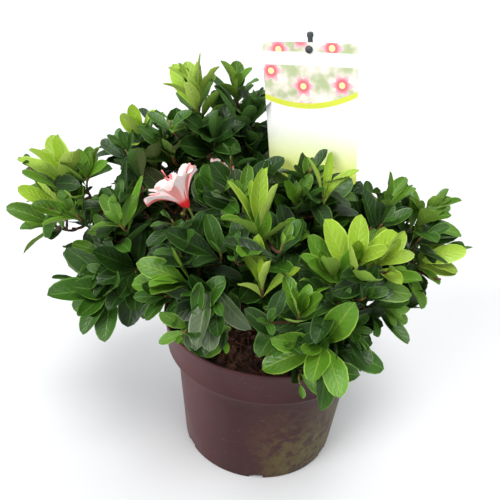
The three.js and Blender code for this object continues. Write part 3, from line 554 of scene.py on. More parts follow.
def tuft_clearings():
    """The space in front of each tuft, on the side that it is seen from."""
    clearings = []
    for tuft in TUFTS:
        if tuft.tone not in ("fresh", "bright"):
            continue
        middle = Vector(tuft.site) + Vector(tuft.axis).normalized() * (tuft.length * 0.55)
        front = -1 if middle.y < TUFT_ROOM["divide"] else 1
        towards = Vector((0, front, TUFT_ROOM["slope"])).normalized()
        start = middle + towards * TUFT_ROOM["near"]
        clearings.append(Clear(start, start + towards * TUFT_ROOM["reach"], TUFT_ROOM["radius"]))
    return clearings


def in_clearing(point, clearings):
    """Whether a point is in a space kept open for a blossom, a tuft, the rim or the sky."""
    for clear in clearings:
        foot, tip = Vector(clear.foot), Vector(clear.tip)
        share = (point - foot).dot(tip - foot) / (tip - foot).length_squared
        if (blend_of(foot, tip, min(1, max(0, share))) - point).length < clear.radius:
            return True
    return False


# Leaves

Leaf = namedtuple("Leaf", "root direction face length width tone shade")


def label_matrix():
    """The place of the label, in millimetres."""
    turn = (Matrix.Rotation(math.radians(LABEL["lean"]), 4, "X")
            @ Matrix.Rotation(math.radians(LABEL["roll"]), 4, "Y")
            @ Matrix.Rotation(math.radians(LABEL["yaw"]), 4, "Z"))
    return Matrix.Translation((*LABEL["foot"], LABEL["level"])) @ turn


LABEL_PLACE = label_matrix()
LABEL_BACK = LABEL_PLACE.inverted()


class Crown:
    """Places leaves one after another, and keeps their middles apart with a grid of cells."""

    def __init__(self):
        self.cells = {}
        self.leaves = []
        self.clearings = CLEARINGS + tuft_clearings()
        pot_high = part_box("pot")[1]
        self.rim_radius = pot_high.x / MM
        self.rim_height = pot_high.z / MM
        self.mix_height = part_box("potting_mix")[1].z / MM

    def key(self, point):
        return tuple(int(value // CROWN_CELL) for value in point)

    def is_clear(self, point, apart):
        x, y, z = self.key(point)
        for i in (x - 1, x, x + 1):
            for j in (y - 1, y, y + 1):
                for k in (z - 1, z, z + 1):
                    for other in self.cells.get((i, j, k), ()):
                        if (other - point).length < apart:
                            return False
        return True

    def off_pot(self, point):
        radius = math.hypot(point.x, point.y)
        if radius > self.rim_radius + POT_CLEAR or point.z > self.rim_height + POT_CLEAR:
            return point.z > POT_CLEAR
        inside = radius < self.rim_radius - 3 * POT_CLEAR
        return inside and point.z > self.mix_height + MIX_CLEAR

    def off_card(self, root, point):
        half = LABEL["width"] / 2 + CARD_CLEAR
        bottom = LABEL["card_top"] - LABEL["height"] - LABEL["level"] - CARD_CLEAR
        a, b = LABEL_BACK @ root, LABEL_BACK @ point
        beside = abs(b.x) > half or b.z < bottom
        near = abs(b.y + LABEL["stick_radius"]) < CARD_CLEAR
        across = (a.y + LABEL["stick_radius"]) * (b.y + LABEL["stick_radius"]) < 0
        return beside or not (near or across)

    def fits(self, shoot, space, leaf):
        """Whether a leaf keeps to its space and clear of the pot, the card and the rest."""
        side = leaf.direction.cross(leaf.face) * (leaf.length * leaf.width * 0.5)
        tip = leaf.root + leaf.direction * leaf.length
        wide = leaf.root + leaf.direction * (leaf.length * LEAF_WIDEST)
        for point in (tip, wide + side, wide - side):
            if not (self.off_pot(point) and self.off_card(leaf.root, point)):
                return False
            if point.z < LOWEST.get(shoot.mass.name, 0):
                return False
            if not shoot.tuft and point.z > HIGHEST.get(shoot.mass.name, point.z):
                return False
            if in_clearing(point, CLEARINGS if shoot.tuft else self.clearings):
                return False
        if shoot.tuft:
            inside = space.local(tip).length < TUFT_SLACK
        else:
            inside = space.holds(tip, -PLANE_SLACK, SPACE_SLACK)
        if not inside:
            return False
        apart = leaf.length * LEAF_APART["tuft" if shoot.tuft else "shoot"]
        return all(self.is_clear(leaf.root + leaf.direction * (leaf.length * share), apart)
                   for share in LEAF_PROBES)

    def add(self, leaf):
        self.leaves.append(leaf)
        for share in LEAF_PROBES:
            point = leaf.root + leaf.direction * (leaf.length * share)
            self.cells.setdefault(self.key(point), []).append(point)

    def add_spray(self, shoot, space, draw):
        """The whorl of leaves of one shoot, from the youngest down, and whether it has enough."""
        tuft = shoot.tuft
        rule = TUFT if tuft else SPRAY
        opening = tuft.open if tuft else SPRAY["tilt_step"]
        full = tuft.length if tuft else SPRAY["length"] * between(draw, *SPRAY_LONGER)
        full *= SPRAY["fine_size"] if shoot.rank == 2 else 1
        width_share = tuft.width if tuft else SPRAY["width"]
        turn = draw() * 2 * math.pi
        tones = spray_tones(shoot, draw)
        in_front = min(1, max(0, (FACE["divide"] - shoot.site.y) / FACE["divide"]))
        light_side = UP * FACE["up"] - Vector((0, 1, 0)) * (FACE["front"] * in_front)
        count = tuft.leaves if tuft else SPRAY["leaves"]
        before = len(self.leaves)
        for k in range(count):
            grown = min(1, rule["youngest"] + rule["growth"] * k)
            length = full * grown * (1 + between(draw, -1, 1) * rule["spread"])
            width = width_share * between(draw, *LEAF_WIDER)
            root = shoot.site - shoot.axis * (k * rule["step"])
            roll, shade = between(draw, -1, 1) * FACE["roll"], draw()
            tone = tones[min(2, k // rule["tone_step"])]
            for nudge, tilt_nudge, scale in LEAF_TRIES:
                tilt = math.radians(rule["first_tilt"] + k * opening + tilt_nudge)
                angle = turn + k * GOLDEN_ANGLE + math.radians(nudge)
                direction = leaning(shoot.axis, tilt, angle)
                direction.z -= max(0, DROOP["below"] - shoot.mass.rise) * DROOP["share"]
                direction.normalize()
                face = shoot.axis * FACE["axis"] + light_side
                face = (face - direction * face.dot(direction)).normalized()
                face.rotate(Matrix.Rotation(roll, 3, direction))
                leaf = Leaf(root, direction, face, length * scale, width, tone, shade)
                if self.fits(shoot, space, leaf):
                    self.add(leaf)
                    break
        leafy = len(self.leaves) - before >= BARE["tuft" if tuft else "shoot"]
        if not leafy:
            del self.leaves[before:]
        return leafy


def spray_tones(shoot, draw):
    """The colours of a spray's youngest, middle and oldest leaves."""
    mass, chance = shoot.mass, draw()
    if shoot.tuft:
        return shoot.tuft.tone, *OLDER[shoot.tuft.tone]
    if chance < mass.shade * TONE_CHANCES["dark"]:
        return "mid", "dark", "dark"
    if chance < mass.shade * TONE_CHANCES["middling"]:
        return "bright", "mid", "dark"
    return "bright", "bright", "mid"


def thin_sheet(columns, rows, along):
    """A flat grid with soft edges, and where its points are: across from -1 to 1, and along."""
    bm = bmesh.new()
    bmesh.ops.create_grid(bm, x_segments=columns, y_segments=rows, size=0.5)
    uv = bm.loops.layers.uv.new("UVMap")
    bm.verts.layers.float.new("leaf_tone")
    place = {vert: (vert.co.x * 2, along(vert.co.y + 0.5)) for vert in bm.verts}
    for face in bm.faces:
        for loop in face.loops:
            across, share = place[loop.vert]
            loop[uv].uv = (across * 0.5 + 0.5, share)
    for edge in bm.edges:
        edge.smooth = not edge.is_boundary
    return bm, uv, place


def under_side(bm):
    """Adds a turned copy of every face, and gives back its faces and its inner points."""
    under = bmesh.ops.duplicate(bm, geom=bm.verts[:] + bm.edges[:] + bm.faces[:])["geom"]
    faces = [item for item in under if isinstance(item, bmesh.types.BMFace)]
    bmesh.ops.reverse_faces(bm, faces=faces)
    return faces, [vert for vert in {vert for face in faces for vert in face.verts}
                   if not vert.is_boundary]


def leaf_template(name, width, arch, fold, wave, twist, phase):
    """A closed thin leaf of unit length along +Y with its upper side up."""
    rows = len(LEAF_STATIONS) - 1
    halves = dict(LEAF_STATIONS)
    bm, uv, place = thin_sheet(LEAF_COLUMNS, rows, lambda along: LEAF_STATIONS[round(along * rows)][0])
    for vert, (across, share) in place.items():
        half = halves[share] * width * 0.5
        lift = fold * abs(across) ** 1.4 * half
        shift = phase + (0 if across > 0 else LEAF_WAVES["apart"])
        lift += wave * math.sin(share * LEAF_WAVES["count"] + shift) * abs(across) * half
        spin = Matrix.Rotation(twist * share, 3, "Y")
        off = spin @ Vector((across * half, 0, lift))
        bow = arch * share
        along = math.sin(bow) / arch if abs(arch) > 1e-3 else share
        drop = (1 - math.cos(bow)) / arch if abs(arch) > 1e-3 else 0
        vert.co = Vector((off.x, along, off.z - drop))
    faces, inner = under_side(bm)
    for vert in inner:
        vert.co.z -= LEAF_THICKNESS
    for face in faces:
        for loop in face.loops:
            loop[uv].uv.x += 2
    bmesh.ops.remove_doubles(bm, verts=bm.verts, dist=1e-5)
    return mesh_from(bm, name)


def leaf_templates(base_width, count, seed):
    """A few leaf shapes that differ in arch, fold, wave and twist."""
    draw = seeded(seed)
    return [leaf_template(f"leaf_shape_{seed}_{i}", base_width,
                          *[between(draw, *ends) for ends in LEAF_VARIES.values()])
            for i in range(count)]


def leaf_mesh(name, leaves, templates, base_width):
    """Joins leaves of one colour into one mesh."""
    bm = bmesh.new()
    for number, leaf in enumerate(leaves):
        template = templates[int(leaf.shade * LEAF_SHAPE_STEP + number) % len(templates)]
        side = leaf.direction.cross(leaf.face)
        turn = Matrix((side * (leaf.width / base_width), leaf.direction, leaf.face)).transposed()
        place = Matrix.Translation(leaf.root * MM) @ (turn * (leaf.length * MM)).to_4x4()
        add_copy(bm, template, place, leaf.shade)
    return mesh_from(bm, name)


# Meshes

def finish_piece(name, mesh, material, nodes, sharp=None):
    """Makes a mesh a piece that rides on the part and stands for its nodes."""
    mesh.name = name
    mesh.materials.clear()
    mesh.materials.append(material)
    mesh.shade_smooth()
    if sharp is not None:
        mesh.set_sharp_from_angle(angle=math.radians(sharp))
    piece = bpy.data.objects.new(name, mesh)
    bpy.context.collection.objects.link(piece)
    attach(piece, "root")
    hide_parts(*nodes)
    return piece


def mesh_from(bm, name):
    mesh = bpy.data.meshes.new(name)
    bm.to_mesh(mesh)
    bm.free()
    return mesh


def spun(profile, segments):
    """A closed shell turned about the Z axis from a profile of radius and height."""
    bm = bmesh.new()
    verts = [bm.verts.new((radius, 0, height)) for radius, height in profile]
    edges = [bm.edges.new(pair) for pair in zip(verts, verts[1:])]
    bmesh.ops.spin(bm, geom=verts + edges, cent=(0, 0, 0), axis=(0, 0, 1),
                   angle=2 * math.pi, steps=segments, use_merge=True)
    bmesh.ops.remove_doubles(bm, verts=bm.verts, dist=1e-6)
    bmesh.ops.recalc_face_normals(bm, faces=bm.faces)
    return bm


def tube_mesh(name, strands, sides_level):
    """Round tubes along paths of points in millimetres, each with a radius at both ends."""
    curve = bpy.data.curves.new(name, "CURVE")
    curve.dimensions = "3D"
    curve.bevel_depth = 1
    curve.bevel_resolution = sides_level
    curve.use_fill_caps = True
    for points, radii in strands:
        spline = curve.splines.new("POLY")
        spline.points.add(len(points) - 1)
        for number, point in enumerate(points):
            spline.points[number].co = (*(point * MM), 1)
            spline.points[number].radius = radii[number] * MM
    holder = bpy.data.objects.new(name, curve)
    mesh = bpy.data.meshes.new_from_object(holder)
    bpy.data.objects.remove(holder)
    bpy.data.curves.remove(curve)
    bm = bmesh.new()
    bm.from_mesh(mesh)
    bmesh.ops.remove_doubles(bm, verts=bm.verts, dist=1e-6)
    bmesh.ops.recalc_face_normals(bm, faces=bm.faces)
    bm.to_mesh(mesh)
    bm.free()
    return mesh


def tapered(count, foot, tip):
    return [foot + (tip - foot) * number / (count - 1) for number in range(count)]


# Node helpers

class Tree:
    """Builds a node tree from short calls. A value may be a socket, a number or a colour."""

    def __init__(self, tree):
        self.tree = tree

    def node(self, kind, **settings):
        made = self.tree.nodes.new(kind)
        for name, value in settings.items():
            setattr(made, name, value)
        return made

    def feed(self, socket, value):
        if isinstance(value, bpy.types.NodeSocket):
            self.tree.links.new(value, socket)
        else:
            socket.default_value = value

    def math(self, operation, a, b=0.0):
        made = self.node("ShaderNodeMath", operation=operation)
        self.feed(made.inputs[0], a)
        self.feed(made.inputs[1], b)
        return made.outputs[0]

    def plus(self, a, b):
        return self.math("ADD", a, b)

    def minus(self, a, b):
        return self.math("SUBTRACT", a, b)

    def times(self, a, b):
        return self.math("MULTIPLY", a, b)

    def step(self, value, low, high, start=0.0, end=1.0):
        """Goes smoothly from start to end as the value goes from low to high."""
        made = self.node("ShaderNodeMapRange", interpolation_type="SMOOTHSTEP")
        for socket, item in zip(made.inputs, (value, low, high, start, end)):
            self.feed(socket, item)
        return made.outputs[0]

    def mix(self, share, a, b):
        made = self.node("ShaderNodeMix", data_type="RGBA")
        self.feed(made.inputs[0], share)
        self.feed(made.inputs[6], a)
        self.feed(made.inputs[7], b)
        return made.outputs[2]

    def place(self, scale=(1, 1, 1)):
        """Object coordinates, scaled on each axis."""
        coordinates = self.node("ShaderNodeTexCoord")
        mapping = self.node("ShaderNodeMapping")
        self.feed(mapping.inputs["Vector"], coordinates.outputs["Object"])
        self.feed(mapping.inputs["Scale"], scale)
        return mapping.outputs[0]

    def uv(self):
        """The two parts of the piece's own UV map."""
        split = self.node("ShaderNodeSeparateXYZ")
        self.feed(split.inputs[0], self.node("ShaderNodeUVMap", uv_map="UVMap").outputs[0])
        return split.outputs[0], split.outputs[1]

    def noise(self, vector, scale, detail=3.0, roughness=0.55, distortion=0.0):
        made = self.node("ShaderNodeTexNoise")
        self.feed(made.inputs["Vector"], vector)
        self.feed(made.inputs["Scale"], scale)
        self.feed(made.inputs["Detail"], detail)
        self.feed(made.inputs["Roughness"], roughness)
        self.feed(made.inputs["Distortion"], distortion)
        return made.outputs[0]

    def group(self, tree, **values):
        made = self.node("ShaderNodeGroup", node_tree=tree)
        for name, value in values.items():
            self.feed(made.inputs[name.replace("_", " ")], value)
        return made.outputs

    def bump(self, height, strength, distance):
        made = self.node("ShaderNodeBump")
        self.feed(made.inputs["Strength"], strength)
        self.feed(made.inputs["Distance"], distance)
        self.feed(made.inputs["Height"], height)
        return made.outputs[0]


def new_group(name, inputs, outputs):
    """A shader node group with plain number sockets, and its tree, input and output."""
    tree = bpy.data.node_groups.new(name, "ShaderNodeTree")
    for title, default in inputs.items():
        socket = tree.interface.new_socket(title, in_out="INPUT", socket_type="NodeSocketFloat")
        socket.default_value = default
    for title in outputs:
        tree.interface.new_socket(title, in_out="OUTPUT", socket_type="NodeSocketFloat")
    t = Tree(tree)
    return tree, t, t.node("NodeGroupInput").outputs, t.node("NodeGroupOutput").inputs


def mottle_group():
    """Soft patches and fine grain over a surface, by place."""
    name = "Mottle"
    if name in bpy.data.node_groups:
        return bpy.data.node_groups[name]
    tree, t, given, out = new_group(name, {"Patch Scale": 30.0, "Grain Scale": 400.0}, ("Patches", "Grain"))
    place = t.place()
    t.feed(out["Patches"], t.step(t.noise(place, given["Patch Scale"], 3), 0.3, 0.7))
    t.feed(out["Grain"], t.noise(place, given["Grain Scale"], 2))
    return tree


def leaf_group():
    """Midrib, side veins, margin and under side of a leaf, from its UV map."""
    name = "Leaf pattern"
    if name in bpy.data.node_groups:
        return bpy.data.node_groups[name]
    outputs = ("Midrib", "Veins", "Margin", "Underside", "Tone", "Flesh", "Height")
    tree, t, given, out = new_group(name, {"Vein Count": 8.0}, outputs)
    u, v = t.uv()
    under = t.step(u, 1.4, 1.6)
    upper_u = t.minus(u, t.times(under, 2.0))
    across = t.times(t.math("ABSOLUTE", t.minus(upper_u, 0.5)), 2.0)
    midrib = t.step(across, 0.03, 0.11, 1.0, 0.0)
    slanted = t.minus(t.times(v, given["Vein Count"]), t.times(across, 2.2))
    wave = t.math("SINE", t.times(slanted, 2 * math.pi))
    veins = t.times(t.step(wave, 0.72, 1.0), t.step(across, 0.7, 0.95, 1.0, 0.0))
    t.feed(out["Midrib"], midrib)
    t.feed(out["Veins"], veins)
    t.feed(out["Margin"], t.step(across, 0.85, 0.96))
    t.feed(out["Underside"], under)
    t.feed(out["Tone"], t.node("ShaderNodeAttribute", attribute_name="leaf_tone").outputs["Fac"])
    # The flesh swells between two side veins, and is lighter beside the midrib.
    swell = t.times(t.step(wave, -0.9, 0.7, 1.0, 0.0), t.step(across, 0.1, 0.85, 1.0, 0.0))
    t.feed(out["Flesh"], swell)
    grooves = t.plus(midrib, t.times(veins, 0.35))
    grooves = t.minus(grooves, t.times(swell, 0.4))
    side = t.minus(t.times(under, 2.0), 1.0)
    t.feed(out["Height"], t.times(grooves, side))
    return tree


def new_material(name, **fixed):
    """A material with one Principled shader, whose even values are set on its sockets."""
    material = bpy.data.materials.new(name)
    material.use_nodes = True
    t = Tree(material.node_tree)
    shader = material.node_tree.nodes["Principled BSDF"]
    for title, value in fixed.items():
        shader.inputs[title.replace("_", " ")].default_value = value
    return material, t, shader.inputs


def shaded(base, factor):
    return (*(part * factor for part in base[:3]), 1.0)


def leaf_material(tone):
    upper, under = (colour(code) for code in TONES[tone])
    material, t, shader = new_material(f"leaf_{tone}", Specular_IOR_Level=0.32)
    leaf = t.group(leaf_group())
    mottle = t.group(mottle_group(), Patch_Scale=70.0, Grain_Scale=420.0)
    base = t.mix(leaf["Tone"], shaded(upper, 0.72), shaded(upper, 1.2))
    for pattern, share, shown in ((leaf["Flesh"], 0.12, shaded(upper, 1.5)),
                                  (mottle["Patches"], 0.2, shaded(under, 0.5)),
                                  (leaf["Veins"], 0.12, shaded(under, 0.6)),
                                  (leaf["Midrib"], 0.45, shaded(under, 1.05)),
                                  # The pale margin is partly the leaf's fine hairs and partly a painted
                                  # highlight where edges catch the light.
                                  (leaf["Margin"], 0.6, shaded(under, 1.3)),
                                  (leaf["Underside"], 0.8, under)):
        base = t.mix(t.times(pattern, share), base, shown)
    t.feed(shader["Base Color"], base)
    gloss = t.plus(t.times(mottle["Patches"], 0.16), 0.27)
    t.feed(shader["Roughness"], t.plus(gloss, t.times(leaf["Underside"], 0.25)))
    height = t.plus(leaf["Height"], t.times(mottle["Grain"], 0.9))
    t.feed(shader["Normal"], t.bump(height, 0.6, 0.0005))
    return material


def bark_material(name, deep, light, reddish):
    material, t, shader = new_material(name, Specular_IOR_Level=0.3)
    mottle = t.group(mottle_group(), Patch_Scale=130.0, Grain_Scale=1500.0)
    flakes = t.step(t.noise(t.place((1, 1, 0.35)), 420.0, 4, 0.7, 0.6), 0.42, 0.6)
    base = t.mix(flakes, colour(deep), colour(light))
    base = t.mix(t.times(mottle["Patches"], 0.55), base, colour(reddish))
    t.feed(shader["Base Color"], base)
    t.feed(shader["Roughness"], t.step(mottle["Grain"], 0.3, 0.7, 0.7, 0.92))
    height = t.plus(flakes, t.times(mottle["Grain"], 0.4))
    t.feed(shader["Normal"], t.bump(height, 0.7, 0.0007))
    return material


def pot_material(settings):
    material, t, shader = new_material("pot_plastic", Specular_IOR_Level=0.16)
    mottle = t.group(mottle_group(), Patch_Scale=14.0, Grain_Scale=1100.0)
    split = t.node("ShaderNodeSeparateXYZ")
    t.feed(split.inputs[0], t.place())
    x, y, z = split.outputs
    # Dust lies in soft patches, and the whole left side is painted lighter with the same colour, as painted
    # light from the left.
    dust_and_painted_light = t.math("MAXIMUM", t.times(mottle["Patches"], 0.3), t.step(x, -0.08, -0.015, 1.0, 0.0))
    base = t.mix(dust_and_painted_light, (*settings.colour, 1), (*settings.dust_and_lit_side_colour, 1))
    # A thin green film low on one side.
    towards = t.minus(t.times(x, 0.8), t.times(y, 0.6))
    film = t.times(t.step(towards, 0.03, 0.085), t.step(z, 0.02, 0.115, 1.0, 0.0))
    patchy = t.step(t.noise(t.place(), 75.0, 6, 0.75), 0.38, 0.6)
    base = t.mix(t.times(t.times(film, patchy), 0.7), base, (*settings.film_colour, 1))
    # Pale dust and short scuffs.
    scuffs = t.step(t.noise(t.place((1, 1, 5)), 180.0, 2, 0.5, 1.5), 0.66, 0.72)
    specks = t.step(t.noise(t.place(), 620.0, 2), 0.7, 0.76)
    marks = t.math("MAXIMUM", t.times(scuffs, 0.3), t.times(specks, 0.25))
    base = t.mix(marks, base, (*settings.scuff_colour, 1))
    t.feed(shader["Base Color"], base)
    t.feed(shader["Roughness"], t.plus(t.times(mottle["Patches"], 0.14), 0.36))
    height = t.plus(t.times(mottle["Grain"], 0.35), t.times(marks, 0.5))
    t.feed(shader["Normal"], t.bump(height, 0.12, 0.0003))
    return material


def mix_material(name, deep, light):
    material, t, shader = new_material(name, Specular_IOR_Level=0.25)
    mottle = t.group(mottle_group(), Patch_Scale=160.0, Grain_Scale=900.0)
    base = t.mix(mottle["Patches"], deep, light)
    piece = t.node("ShaderNodeAttribute", attribute_name="leaf_tone").outputs["Fac"]
    base = t.mix(t.step(piece, 0.5, 1.0), base, colour("#5f3d2e"))
    t.feed(shader["Base Color"], base)
    t.feed(shader["Roughness"], t.step(mottle["Grain"], 0.3, 0.7, 0.75, 1.0))
    t.feed(shader["Normal"], t.bump(t.plus(mottle["Grain"], mottle["Patches"]), 0.8, 0.001))
    return material


def petal_material():
    """White petals with coral stripes that run out of a red tube."""
    material, t, shader = new_material("petals", Specular_IOR_Level=0.3, Emission_Strength=0.55)
    u, v = t.uv()
    across = t.times(t.math("ABSOLUTE", t.minus(u, 0.5)), 2.0)
    streaks = t.node("ShaderNodeTexNoise")
    line = t.node("ShaderNodeCombineXYZ")
    piece = t.node("ShaderNodeAttribute", attribute_name="leaf_tone").outputs["Fac"]
    t.feed(line.inputs[0], t.plus(t.times(u, 5.0), t.times(piece, 40.0)))
    t.feed(line.inputs[1], t.times(v, 0.7))
    t.feed(streaks.inputs["Vector"], line.outputs[0])
    t.feed(streaks.inputs["Scale"], 1.0)
    # A broad ray along the middle of a petal, frayed at its sides, and a few thin streaks.
    width = t.step(v, 0.35, 1.0, 0.42, 0.24)
    frayed = t.plus(across, t.times(t.minus(streaks.outputs[0], 0.5), 0.6))
    ray = t.step(t.minus(frayed, width), -0.06, 0.06, 1.0, 0.0)
    ray = t.times(ray, t.step(piece, 0.0, 0.6, 0.5, 0.95))
    reach = t.step(v, 0.2, 1.0, 0.58, 0.8)
    stripe = t.step(t.minus(streaks.outputs[0], reach), 0.0, 0.05)
    tube = t.step(v, 0.15, 0.36, 1.0, 0.0)
    red = t.math("MAXIMUM", t.math("MAXIMUM", stripe, tube), ray)
    blush = t.mix(t.step(v, 0.3, 0.85, 0.55, 0.1), colour("#e4dbdb"), colour("#e6aaa6"))
    base = t.mix(red, blush, t.mix(tube, colour("#dd6660"), colour("#c4252a")))
    t.feed(shader["Base Color"], base)
    # A painted glow in the petals' own colour lifts their shaded outer sides, standing in for light through
    # the thin petals.
    t.feed(shader["Emission Color"], base)
    mottle = t.group(mottle_group(), Patch_Scale=90.0, Grain_Scale=1400.0)
    t.feed(shader["Roughness"], t.step(mottle["Grain"], 0.3, 0.7, 0.5, 0.68))
    folds = t.math("SINE", t.times(u, 46.0))
    t.feed(shader["Normal"], t.bump(folds, 0.25, 0.0004))
    return material


def plain_material(name, base_code, dust_code, roughness, level=0.4):
    """A plain finish with soft patches and a fine grain."""
    material, t, shader = new_material(name, Specular_IOR_Level=level)
    mottle = t.group(mottle_group(), Patch_Scale=60.0, Grain_Scale=1300.0)
    t.feed(shader["Base Color"], t.mix(t.times(mottle["Patches"], 0.4),
                                       colour(base_code), colour(dust_code)))
    t.feed(shader["Roughness"], t.step(mottle["Grain"], 0.3, 0.7, roughness - 0.06, roughness + 0.06))
    t.feed(shader["Normal"], t.bump(mottle["Grain"], 0.15, 0.0003))
    return material


def card_material():
    """A generic printed card: rosettes on soft green and cream, a lime band, a pale gradient."""
    material, t, shader = new_material("label_print", Specular_IOR_Level=0.5, Coat_Weight=0.25,
                                       Emission_Strength=0.3)
    u, v = t.uv()
    # Rosettes, one in each cell.
    point = t.node("ShaderNodeCombineXYZ")
    t.feed(point.inputs[0], u)
    t.feed(point.inputs[1], t.times(v, 1.49))
    cells = t.node("ShaderNodeTexVoronoi", voronoi_dimensions="2D")
    t.feed(cells.inputs["Vector"], point.outputs[0])
    t.feed(cells.inputs["Scale"], 2.9)
    t.feed(cells.inputs["Randomness"], 0.55)
    away = t.node("ShaderNodeVectorMath", operation="SUBTRACT")
    t.feed(away.inputs[0], point.outputs[0])
    t.feed(away.inputs[1], cells.outputs["Position"])
    split = t.node("ShaderNodeSeparateXYZ")
    t.feed(split.inputs[0], away.outputs[0])
    angle = t.math("ARCTAN2", split.outputs[1], split.outputs[0])
    lobes = t.math("COSINE", t.times(angle, 6.0))
    radius = cells.outputs["Distance"]
    edge = t.plus(t.times(lobes, 0.07), 0.3)
    flower = t.step(t.minus(radius, edge), -0.03, 0.0, 1.0, 0.0)
    eye = t.step(radius, 0.08, 0.11, 1.0, 0.0)
    soft = t.noise(point.outputs[0], 5.0, 2)
    ground = t.mix(t.step(soft, 0.35, 0.65), colour("#aebb8c"), colour("#f1e6dc"))
    petals = t.mix(t.step(radius, 0.1, 0.32), colour("#d9566a"), colour("#f3c3c8"))
    picture = t.mix(eye, t.mix(flower, ground, petals), colour("#f2e7a0"))
    # The band's two edges are shallow arcs.
    off = t.minus(u, 0.42)
    arc = t.times(t.times(off, off), 0.32)
    below = t.minus(v, arc)
    lower = t.mix(t.step(v, -0.05, 0.5), colour("#e9f76f"), colour("#ffffff"))
    band = t.step(below, 0.545, 0.55)
    paper = t.mix(band, lower, colour("#d4dc3e"))
    paper = t.mix(t.step(below, 0.585, 0.59), paper, picture)
    strip = t.times(t.step(v, 0.845, 0.85), t.step(v, 0.935, 0.94, 1.0, 0.0))
    paper = t.mix(t.times(strip, 0.75), paper, colour("#f4f6ee"))
    back = t.step(u, 1.4, 1.6)
    t.feed(shader["Base Color"], t.mix(back, paper, colour("#f1f2ea")))
    # A glow is painted on the card's yellow foot, to lift it where the leaves shade it.
    t.feed(shader["Emission Color"], t.mix(t.step(v, -0.05, 0.42), colour("#dcee62"), colour("#000000")))
    mottle = t.group(mottle_group(), Patch_Scale=40.0, Grain_Scale=900.0)
    t.feed(shader["Roughness"], t.step(mottle["Patches"], 0.0, 1.0, 0.24, 0.36))
    t.feed(shader["Normal"], t.bump(mottle["Patches"], 0.05, 0.0004))
    return material


# Settings

def length(name, default, description):
    return FloatProperty(name=name, description=description, default=default, unit="LENGTH",
                         precision=4)


def count(name, default, least, description):
    return IntProperty(name=name, description=description, default=default, min=least)


def tint(name, code, description):
    return FloatVectorProperty(name=name, description=description, default=colour(code)[:3],
                               subtype="COLOR", size=3, min=0, max=1)


class PotSettings(bpy.types.PropertyGroup):
    """Sizes and colours of the nursery pot."""

    rim_radius: length("Rim radius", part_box("pot")[1].x, "Outer radius of the rim")
    height: length("Height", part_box("pot")[1].z, "Height of the pot")
    band_height: length("Band height", 0.034, "Height of the rim band")
    band_foot_radius: length("Band foot radius", 0.091, "Outer radius at the band's foot")
    body_top_radius: length("Body top radius", 0.083, "Outer radius under the band")
    base_radius: length("Base radius", 0.073, "Outer radius of the foot")
    wall: length("Wall", 0.0024, "Thickness of the wall")
    floor: length("Floor", 0.003, "Thickness of the floor")
    notches: count("Notches", 6, 0, "Drainage notches in the foot")
    notch_width: length("Notch width", 0.013, "Width of a drainage notch")
    notch_height: length("Notch height", 0.0045, "Height of a drainage notch")
    notch_depth: length("Notch depth", 0.009, "Depth of a drainage notch")
    segments: count("Segments", 144, 12, "Steps round the pot")
    colour: tint("Plastic", "#331a1b", "Colour of the plastic")
    # The dusty colour is also painted over the pot's left side as painted light.
    dust_and_lit_side_colour: tint("Dusty plastic", "#523031", "Colour where the plastic is dusty")
    film_colour: tint("Green film", "#6d6a35", "Colour of the green film low on one side")
    scuff_colour: tint("Scuffs", "#7d6465", "Colour of scuffs and specks")


class MixSettings(bpy.types.PropertyGroup):
    """The potting mix and what lies on it."""

    chips: count("Chips", 620, 0, "How many bark chips lie on top")
    fibres: count("Fibres", 260, 0, "How many fibres lie on top")
    roughness: length("Roughness", 0.0022, "How far the surface rises and falls")
    deep_colour: tint("Deep", "#1c110d", "Colour of moist mix")
    light_colour: tint("Light", "#442b1f", "Colour of drier mix")


class ShrubSettings(bpy.types.PropertyGroup):
    """The shrub's trunk, limbs, twigs and leaves."""

    bark_relief: length("Bark relief", 0.0005, "How far the bark rises and falls")
    bark_step: length("Bark step", 0.0016, "Length of a step along a limb")
    leaf_shapes: count("Leaf shapes", 9, 1, "Leaf shapes to choose from")
    leaves_in_piece: count("Leaves in a piece", 1400, 100, "Most leaves joined in one piece")


class BlossomSettings(bpy.types.PropertyGroup):
    """The blossoms."""

    petals: count("Petals", 5, 3, "Petals of the outer ring")
    inner_petals: count("Inner petals", 5, 0, "Petals of the inner ring")
    stamens: count("Stamens", 5, 0, "Stamens of a blossom")


class StageSettings(bpy.types.PropertyGroup):
    """The camera, the floor and the lights."""

    place: FloatVectorProperty(name="Camera place", description="Where the camera stands",
                               default=(-0.0201616, -0.462884, 0.45241), subtype="TRANSLATION",
                               unit="LENGTH", size=3)
    pitch: FloatProperty(name="Pitch", description="How far the camera looks down",
                         default=math.radians(28.554), subtype="ANGLE")
    roll: FloatProperty(name="Roll", description="How far the camera is turned about its view",
                        default=math.radians(4.038), subtype="ANGLE")
    lens: FloatProperty(name="Lens", description="Focal length in millimetres", default=43.292)
    floor_colour: tint("Floor", "#d7d8da", "Colour of the floor")


# Pot, mix and label

